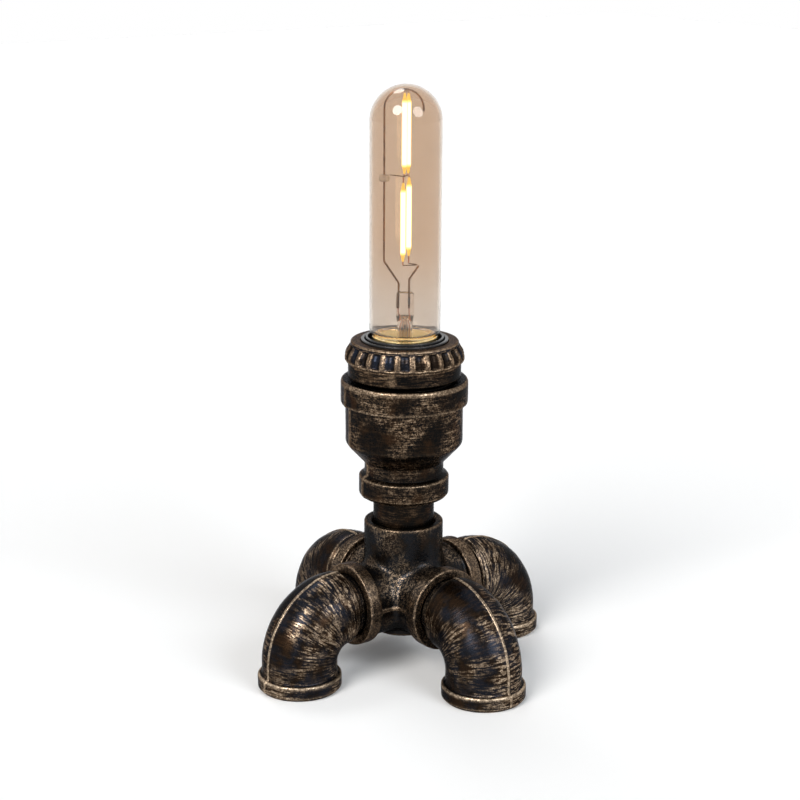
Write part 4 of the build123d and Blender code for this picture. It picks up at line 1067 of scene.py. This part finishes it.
class LampCup(bpy.types.Operator):
    """Build the lampholder's cup with its skirt and the thread below it"""

    bl_idname = "pipe_lamp.cup"
    bl_label = "Lampholder cup"

    def execute(self, context):
        foot, top = heights_mm("holder_cup")
        skirt = radius_mm("holder_cup")
        rim = top - 5.8                # upper edge of the skirt
        hem = rim - 6.4                # lower edge of the skirt
        floor = foot + 2.5             # upper side of its floor
        cable_hole, bore, thread, collar = 5.05, 18.6, 21.0, 21.4
        cup = turned_piece("holder_cup_shell", [
            (cable_hole, foot, 0.2), (20.2, foot, 0.2), (thread, foot + 0.8, 0.2),
            (thread, hem, 0.2), (skirt - 0.1, hem, 0.6), (skirt, rim - 5.7, 0.6),
            (skirt, rim - 0.5, 0.6), (skirt - 0.2, rim, 0.6), (collar, rim, 0.2),
            (collar, top, 0.3), (bore, top, 0.3), (bore, floor, 0.8), (cable_hole, floor, 0.2)],
            make_materials(context.scene)["cup"], nodes=("holder_cup",),
            segments=160, longest=0.4, carving=(thread_tree(), {
                "Pitch": 1.5, "Depth": 0.5, "Bottom": foot + 1.0, "Top": rim - 6.7,
                "Least Radius": 20.4, "Runout": 1.2}))
        mark = radians(219.5)          # way of a bronze mark on the skirt
        touch_up(cup, lambda x, y, z: 0.7 * (np.hypot(x, y) > skirt - 0.9)
                 * (x * cos(mark) + y * sin(mark) > 0)
                 * np.clip(1.9 - beside_way(x, y, mark), 0, 1))
        # black as painted shade on the skirt's lowest part and on the thread below it, in the gap
        # over the reducer
        touch_up(cup, lambda x, y, z: -np.clip((rim - 5.0 - z) / 1.4, 0, 1))
        return {"FINISHED"}


class LampRing(bpy.types.Operator):
    """Build the ring with scallops round it that clamps the insulator"""

    bl_idname = "pipe_lamp.ring"
    bl_label = "Fluted ring"

    def execute(self, context):
        flutes = context.scene.lamp_casting.flutes
        foot, top = heights_mm("fluted_ring")
        wide = radius_mm("fluted_ring")
        outer = 22.3                   # the scallops and the bronze lie outside this radius
        ceiling = top - 1.75           # underside of the flange that holds the insulator
        hole, sleeve = 18.75, 21.46
        ring = turned_piece("fluted_clamp_ring", [
            (sleeve, foot, 0.2), (wide - 0.7, foot, 0.5), (wide, foot + 1.1, 0.6),
            (wide, foot + 2.8), (wide - 0.5, foot + 4.5, 2.0), (wide - 1.7, foot + 6.3, 2.0),
            (wide - 2.45, foot + 7.6, 0.8), (wide - 2.5, top - 0.5, 0.5),
            (wide - 3.0, top, 0.4), (hole, top, 0.3), (hole, ceiling, 0.1),
            (sleeve, ceiling, 0.1)],
            make_materials(context.scene)["ring"], nodes=("fluted_ring",),
            segments=flutes * 18, longest=0.42, carving=(flute_tree(), {
                "Count": float(flutes), "Foot Depth": 1.6, "Head Depth": 0.9,
                "Foot Level": foot, "Head Level": top, "Least Radius": outer,
                "Rib Share": 0.27}))

        def bronze(x, y, z):
            """Bronze on the ribs, the lip and the top, and bare black in the flutes."""
            turn = np.arctan2(y, x) / (2 * pi) * flutes
            away = 1 - 2 * np.abs(turn % 1 - 0.5)
            outside = (np.hypot(x, y) > outer) * (z < foot + 7.2)
            flute = np.clip((away - 0.32) / 0.16, 0, 1) * np.clip((z - foot - 1.2) / 0.4, 0, 1)
            return outside * (0.4 - 1.2 * flute) + 0.3 * (z > top - 0.4)

        touch_up(ring, bronze)
        return {"FINISHED"}


class LampInsulator(bpy.types.Operator):
    """Build the black insulating core with its two rims, and the threaded shell in it"""

    bl_idname = "pipe_lamp.insulator"
    bl_label = "Insulator and shell"

    def execute(self, context):
        materials = make_materials(context.scene)
        foot, top = heights_mm("insulating_core")
        seat = top - 25.45             # floor of the mouth
        groove = top - 3.5             # floor between the two rims, and top of the collar
        body, collar, bore, mouth = 18.5, 20.9, 15.6, 13.73
        well, pin_hole = 4.2, 1.55     # room for the contact's head, and the hole for its pin
        turned_piece("insulator_core", [
            (bore, foot, 0.3), (body, foot, 0.3), (body, top - 4.85, 0.1),
            (collar, top - 4.85, 0.2), (collar, groove, 0.3), (body, groove, 0.2),
            (body, top - 0.8, 0.45), (17.02, top - 0.8, 0.4), (17.0, groove, 0.15),
            (16.5, groove, 0.15), (16.5, top, 0.4), (bore, top, 0.3),
            (bore, top - 4.6, 0.5), (mouth, top - 4.6, 0.2), (mouth, seat, 0.2),
            (well, seat, 0.2), (well, seat - 4.0, 0.2), (pin_hole, seat - 4.0, 0.1),
            (pin_hole, seat - 5.6, 0.1), (bore, seat - 5.6, 0.3)],
            materials["insulator"], nodes=("insulating_core",),
            segments=180, longest=0.9)
        low, high = heights_mm("screw_shell")
        hole, inside, sheet = 11.58, 13.3, 0.35
        turned_piece("threaded_shell", [
            (hole, low, 0.1), (13.64, low, 0.4), (13.66, high, 0.1), (inside, high, 0.1),
            (inside, low + sheet, 0.3), (hole, low + sheet, 0.1)],
            materials["brass"], nodes=("screw_shell",), segments=132, longest=0.3,
            carving=(thread_tree(), {
                "Pitch": lamp_pitch, "Depth": lamp_thread_depth, "Bottom": low + 1.0,
                "Top": high + 1.0, "Least Radius": 13.0, "Runout": 1.5}))
        return {"FINISHED"}


class LampContacts(bpy.types.Operator):
    """Finish the contacts, terminals, bushes and screws inside the fittings"""

    bl_idname = "pipe_lamp.contacts"
    bl_label = "Contacts and bushes"

    def execute(self, context):
        materials = make_materials(context.scene)
        for nodes, finish, slot, bevel in (
                (("centre_contact_pin", "live_strap", "shell_strap", "terminal_blocks"),
                 "brass", "brass", 0.00015),
                (("terminal_screws", "earth_screw", "earth_washer"), "plated", "plated_steel",
                 0.00015),
                (("holder_cable_bush", "base_cable_grommet"), "rubber", "rubber_black", 0.0002),
                (("driver_board",), "board", "board", 0.0001),
                (("cap_insulator",), "glazed", "cap_insulator", 0.0001),
                (("cap_contact",), "gold", "cap_metal", 0.0002)):
            finished_nodes(nodes, materials[finish], bevel)
        self.spring(materials["spring"])
        return {"FINISHED"}

    def spring(self, material):
        """Coil under the sprung contact that the bulb presses down."""
        radius, wire, turns, steps, travel = 2.2, 0.25, 2.0, 96, 1.0
        low, high = heights_mm("contact_spring")
        route = []
        for step in range(steps + 1):
            angle = 2 * pi * turns * step / steps
            rise = (high - low - 2 * wire) * step / steps
            route.append(Vector((radius * cos(angle), radius * sin(angle), low + wire + rise)))
        mesh = grid_mesh("contact_coil", wire_rows(route, wire), False)
        piece = finish_piece(mesh, material, nodes=("contact_spring",), wear=False)
        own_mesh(piece)


class LampCap(bpy.types.Operator):
    """Build the bulb's screw cap"""

    bl_idname = "pipe_lamp.cap"
    bl_label = "Bulb cap"

    def execute(self, context):
        materials = make_materials(context.scene)
        low, high = heights_mm("cap_shell")
        rim = radius_mm("cap_shell")
        hole, outside, inside, sheet = 11.45, 13.18, 12.86, 0.35
        turned_piece("bulb_screw_cap", [
            (hole, low, 0.1), (12.4, low, 0.3), (outside, low + 0.8, 0.4),
            (outside, high - 3.2, 0.5), (rim, high - 0.5, 0.4), (rim, high, 0.1),
            (rim - sheet, high, 0.1), (inside, high - 3.1, 0.5), (inside, low + 1.1, 0.4),
            (12.3, low + sheet, 0.2), (hole, low + sheet, 0.1)],
            materials["gold"], "bulb", ("cap_shell",), segments=132, longest=0.3,
            carving=(thread_tree(), {
                "Pitch": lamp_pitch, "Depth": lamp_thread_depth, "Bottom": low + 0.9,
                "Top": high - 2.6, "Least Radius": 12.7, "Runout": 1.4}))
        at_neck, film, wide = 11.80, 11.86, 12.6       # a ring at the rim, and a film below it
        turned_piece("cap_cement", [
            (at_neck, high - 0.5, 0.02), (wide, high - 0.5, 0.1), (wide, high - 2.2, 0.2),
            (film, high - 3.0, 0.02), (film, high - 9.0, 0.01), (at_neck, high - 9.0, 0.01)],
            materials["cement"], "bulb", longest=0.6)
        return {"FINISHED"}


class LampGlass(bpy.types.Operator):
    """Build the bulb's tube, the stem inside it and the bead on the long wire"""

    bl_idname = "pipe_lamp.glass"
    bl_label = "Bulb glass"

    def execute(self, context):
        materials = make_materials(context.scene)
        foot, top = heights_mm("glass_envelope")
        wide = radius_mm("glass_envelope")
        heel = high_mm("cap_shell")[2] + 0.1
        neck, wall, rise = 11.75, 0.9, 2.5
        centre = top - wide

        def side(inset):
            """Outline from the tip down to the neck's foot, moved in by an inset."""
            radius, low_radius = wide - inset, neck - inset
            dome = [Vector((radius * sin(t * pi / 48), centre + radius * cos(t * pi / 48)))
                    for t in range(25)]
            curve = [Vector((low_radius + (radius - low_radius) * sin(t * pi / 16),
                             heel + inset + rise * (1 - cos(t * pi / 16))))
                     for t in range(8, -1, -1)]
            return divided(dome + curve + [Vector((low_radius, foot))], 2.5, False)

        mesh = grid_mesh("bulb_tube", turned_rows(side(0.0) + side(wall)[::-1], 144), False)
        finish_piece(mesh, materials["glass"], "bulb", ("glass_envelope",),
                     wear=False)
        self.stem(materials["stem"], foot)
        self.bead(materials["bead"])
        return {"FINISHED"}

    def stem(self, material, foot):
        """Flared tube, pressed flat at its top round the wires."""
        press, top = bulb_foot + 34.0, bulb_foot + 44.0
        shoulder = press - 4.5         # where the round tube starts to flatten
        profile = [(10.75, foot), (10.75, foot + 0.8), (9.6, foot + 1.1), (6.4, foot + 1.9),
                   (4.2, foot + 3.0), (3.35, foot + 4.6), (3.2, foot + 6.5), (3.2, shoulder)]
        bore = [(0.0, press - 0.9), (1.2, press - 1.3), (2.2, press - 2.6), (2.5, shoulder),
                (2.5, foot + 5.2), (3.5, foot + 2.6), (6.0, foot + 1.0), (9.8, foot + 0.1)]
        rows = []
        for points in (bore, profile):
            rows += turned_rows(divided([Vector(p) for p in points], 1.2, False), 56)
        for step in range(1, 19):
            z = shoulder + (top - shoulder) * step / 18
            t = clipped((z - shoulder) / 5.5)
            t = t * t * (3 - 2 * t)
            end = max(0.0, (z - top + 1.3) / 1.3)
            inset = 1.2 * (1 - (1 - min(end, 0.98) ** 2) ** 0.5)
            half = (3.2 + 0.6 * t - inset, 3.2 - 1.5 * t - inset)
            rows.append(self.section(half, 2 + 2.5 * t, z))
        rows.append([(0.0, 0.0, top)])
        finish_piece(grid_mesh("pressed_stem", rows, False), material, "bulb",
                     ("glass_stem",), wear=False)

    def section(self, half, power, z, middle=(0.0, 0.0), around=56):
        """Row of points round a section between an ellipse and a rounded rectangle."""
        row = []
        for k in range(around):
            angle = 2 * pi * k / around - bulb_turn
            c, s = cos(angle), sin(angle)
            size = (abs(c) / half[0]) ** power + (abs(s) / half[1]) ** power
            radius = size ** (-1 / power)
            point = in_bulb(middle[0] + radius * c, middle[1] + radius * s, 0)
            row.append((point.x, point.y, z))
        return row

    def bead(self, material):
        """Rounded glass bead that keeps the centre bridge off the long wire."""
        middle, half, level = (-9.0, 3.0), (2.3, 1.5), bulb_foot + 91.3
        low = [(0.0, -1.5), (0.62, -1.47), (0.86, -1.2), (0.97, -0.8), (1.0, -0.3)]
        rows = []
        for share, rise in low + [(a, -b) for a, b in reversed(low)]:
            if share == 0.0:
                point = in_bulb(*middle, 0)
                rows.append([(point.x, point.y, level + rise)])
            else:
                rows.append(self.section((half[0] * share, half[1] * share), 3.0,
                                         level + rise, middle, 32))
        finish_piece(grid_mesh("wire_bead", rows, False), material, "bulb",
                     ("glass_bead",), wear=False)


class LampWires(bpy.types.Operator):
    """Build the support wires, bridges and leads inside the bulb"""

    bl_idname = "pipe_lamp.wires"
    bl_label = "Bulb wires"

    def execute(self, context):
        materials = make_materials(context.scene)
        # piece: node, radius of the wire, radii of its bends, and its corners in the bulb
        wires = {
            "long_support": ("support_wire_long", 0.42, [2.0, 2.0, 7.9, 7.9], [
                (-2.7, 0, 37.0), (-2.7, 0, 47.8), (-9.0, 3.0, 56.4), (-9.0, 3.0, 127.9),
                (7.2, 3.0, 127.9), (7.2, 3.0, 118.7)]),
            "short_support": ("support_wire_short", 0.42, [2.0], [
                (1.7, 0, 37.0), (1.7, 0, 49.4), (5.7, 0, 55.2)]),
            "centre_bridge": ("centre_bridge_wire", 0.2, [0.5], [
                (-6.5, 3.0, 92.6), (-0.6, -1.2, 92.6), (1.0, 3.4, 92.6)]),
            "lower_bridge": ("lower_bridge_wire", 0.2, [0.5], [
                (-1.0, -1.2, 55.44), (5.7, 0, 55.44), (1.4, 3.4, 55.44)]),
            "top_bridge": ("top_bridge_wire", 0.2, [0.5], [
                (-0.6, -1.2, 127.03), (-0.6, 3.0, 127.03), (1.0, 3.4, 127.03)]),
        }
        for name, (node, radius, bends, points) in wires.items():
            route = [in_bulb(*point) for point in smooth_route(points, bends)]
            mesh = grid_mesh(name, wire_rows(route, radius), False)
            finish_piece(mesh, materials["wire"], "bulb", (node,), wear=False)
        finished_nodes(["lead_in_wires", "filament_end_leads"], materials["lead"])
        finished_nodes(["exhaust_tube"], materials["stem"])
        return {"FINISHED"}


class LampFilaments(bpy.types.Operator):
    """Build the four glowing filaments"""

    bl_idname = "pipe_lamp.filaments"
    bl_label = "Filaments"

    def execute(self, context):
        material = make_materials(context.scene)["filament"]
        radius, taper, steps = 1.16, 3.4, 36
        end = [(0.0, 0.0), (0.30, 0.05), (0.46, 0.3), (0.62, 1.2), (0.86, 2.5), (radius, taper)]
        face = in_bulb(0, 1, 0)
        for name, place in {"upper_front": (-0.6, -1.2), "upper_back": (1.0, 3.4),
                            "lower_front": (-1.0, -1.2), "lower_back": (1.4, 3.4)}.items():
            node = f"filament_{name}"
            low, high = heights_mm(node)
            middle = in_bulb(*place, 0)
            profile = [(r, low + rise) for r, rise in end]
            profile += [(radius, low + taper + (high - low - 2 * taper) * k / steps)
                        for k in range(1, steps)]
            profile += [(r, high - rise) for r, rise in reversed(end)]
            rows = [[(px + middle.x, py + middle.y, pz) for px, py, pz in row]
                    for row in turned_rows([Vector(p) for p in profile], 32)]
            mesh = grid_mesh(f"glowing_{name}", rows, False)
            x, y, z = vectors(mesh).T / MM
            inside = np.minimum(z - low, high - z)
            faced = np.abs((x - middle.x) * face.x + (y - middle.y) * face.y) / radius
            store(mesh, "lit", np.clip((inside - 3.0) / 0.9, 0, 1)
                  * np.clip(faced * 2.4 - 0.5, 0.15, 1))
            finish_piece(mesh, material, "bulb", (node,), wear=False)
        return {"FINISHED"}


class LampStage(bpy.types.Operator):
    """Set up the floor, the lights, the white surroundings and the camera"""

    bl_idname = "pipe_lamp.stage"
    bl_label = "Stage"

    def execute(self, context):
        scene = context.scene
        settings = scene.lamp_stage
        self.floor(scene)
        self.surroundings(scene, settings.sky)
        toward = Vector((settings.camera_place[0], settings.camera_place[1], 0)).normalized()
        left = Vector((toward.y, -toward.x, 0))
        up = Vector((0, 0, 1))
        # a lamp's name, place, width in degrees, share of the key's strength, and colour
        for name, place, spread, share, color in (
                ("key_left", toward * 0.80 + left * 0.55 + up * 0.75, 30, 1.0, (1, 0.985, 0.96)),
                ("key_right", toward * 0.72 - left * 0.70 + up * 0.62, 32, 0.60, (0.90, 0.95, 1)),
                ("top_back", left * 0.25 - toward * 0.55 + up * 0.95, 20, 0.20, (1, 1, 1))):
            self.light(scene, name, place, spread, settings.key * share, color)
        camera = bpy.data.objects.new("camera", bpy.data.cameras.new("camera"))
        scene.collection.objects.link(camera)
        h, t = settings.heading, settings.tilt
        roll, across, upward = 0.0065, -0.00525, 0.0211        # turn and shifts of the picture
        ahead = Vector((sin(h) * cos(t), cos(h) * cos(t), -sin(t)))
        turned = ahead.to_track_quat("-Z", "Y").to_matrix().to_4x4()
        camera.matrix_world = Matrix.Translation(settings.camera_place) @ turned \
            @ Matrix.Rotation(roll, 4, "Z")
        camera.data.lens = settings.lens
        camera.data.shift_x, camera.data.shift_y = across, upward
        camera.data.clip_start, camera.data.clip_end = 0.01, 50
        camera.data.dof.use_dof = False
        scene.camera = camera
        scene.view_settings.view_transform = "Standard"
        return {"FINISHED"}

    def floor(self, scene):
        """Pale floor that takes the shadow."""
        material, tree, surface = surface_material(
            "pale_floor", Roughness=0.85, Specular_IOR_Level=0.2,
            Base_Color=(0.93, 0.93, 0.93, 1), Emission_Color=(1, 1, 1, 1))
        put(surface.inputs["Emission Strength"], self.seen_directly(tree) * 0.07)
        mesh = bpy.data.meshes.new("floor")
        reach = 3.0
        mesh.from_pydata([(-reach, -reach, 0), (reach, -reach, 0), (reach, reach, 0),
                          (-reach, reach, 0)], [], [(0, 1, 2, 3)])
        mesh.materials.append(material)
        floor = bpy.data.objects.new("floor", mesh)
        scene.collection.objects.link(floor)
        floor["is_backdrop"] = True

    def seen_directly(self, tree):
        """1 where a surface is looked at, mirrored or seen through glass, and otherwise 0."""
        path = node_of(tree, "ShaderNodeLightPath")
        return out(path, "Is Camera Ray").most(out(path, "Is Glossy Ray")).most(
            out(path, "Is Transmission Ray"))

    def surroundings(self, scene, strength):
        """White to look at and to mirror, and a gentler light on everything."""
        world = bpy.data.worlds.new("white_studio")
        scene.world = world
        world.use_nodes = True
        tree = world.node_tree
        tree.nodes.clear()
        white = node_of(tree, "ShaderNodeBackground", {"Color": (1, 1, 1, 1), "Strength": 1.0})
        soft = node_of(tree, "ShaderNodeBackground", {
            "Color": (0.97, 0.985, 1.0, 1), "Strength": strength})
        mix = node_of(tree, "ShaderNodeMixShader", {
            0: self.seen_directly(tree), 1: out(soft), 2: out(white)})
        node_of(tree, "ShaderNodeOutputWorld", {"Surface": out(mix)})

    def light(self, scene, name, place, spread, strength, color):
        """Even light from one side, as soft as a large lamp that spans some degrees."""
        data = bpy.data.lights.new(name, "SUN")
        data.angle = radians(spread)
        data.energy = strength
        data.color = color
        lamp = bpy.data.objects.new(name, data)
        scene.collection.objects.link(lamp)
        lamp.matrix_world = Matrix.Translation(place) @ \
            (-place).to_track_quat("-Z", "Y").to_matrix().to_4x4()
        lamp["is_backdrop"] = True


STEPS = (LampCross, LampLegs, LampReducer, LampCup, LampRing, LampInsulator, LampContacts,
         LampCap, LampGlass, LampWires, LampFilaments, LampStage)


class LampPanel(bpy.types.Panel):
    """Steps and settings of the pipe lamp"""

    bl_idname = "VIEW3D_PT_pipe_lamp"
    bl_label = "Pipe lamp"
    bl_space_type = "VIEW_3D"
    bl_region_type = "UI"
    bl_category = "Pipe lamp"

    def draw(self, context):
        for settings in (context.scene.lamp_casting, context.scene.lamp_bulb,
                         context.scene.lamp_stage):
            for name in settings.bl_rna.properties.keys():
                if name not in ("rna_type", "name"):
                    self.layout.prop(settings, name)
        for step in STEPS:
            self.layout.operator(step.bl_idname)


SETTINGS = {"lamp_casting": LampCastingSettings, "lamp_bulb": LampBulbSettings,
            "lamp_stage": LampStageSettings}


def register():
    for kind in (*SETTINGS.values(), *STEPS, LampPanel):
        bpy.utils.register_class(kind)
    for name, kind in SETTINGS.items():
        setattr(bpy.types.Scene, name, bpy.props.PointerProperty(type=kind))


def unregister():
    for name in SETTINGS:
        delattr(bpy.types.Scene, name)
    for kind in (LampPanel, *reversed(STEPS), *reversed(tuple(SETTINGS.values()))):
        bpy.utils.unregister_class(kind)


def main():
    """Register the add-on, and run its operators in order."""
    register()
    for step in STEPS:
        family, name = step.bl_idname.split(".")
        getattr(getattr(bpy.ops, family), name)()
    dressed_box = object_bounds()
    {"cad": plain(cad_box), "dressed": plain(dressed_box)}


def plain(box):
    """A box as plain lists of numbers."""
    if isinstance(box, dict):
        return {key: plain(value) for key, value in box.items()}
    if hasattr(box, "__len__"):
        return [plain(value) for value in box]
    return float(box)


if __name__ == "__main__":
    main()
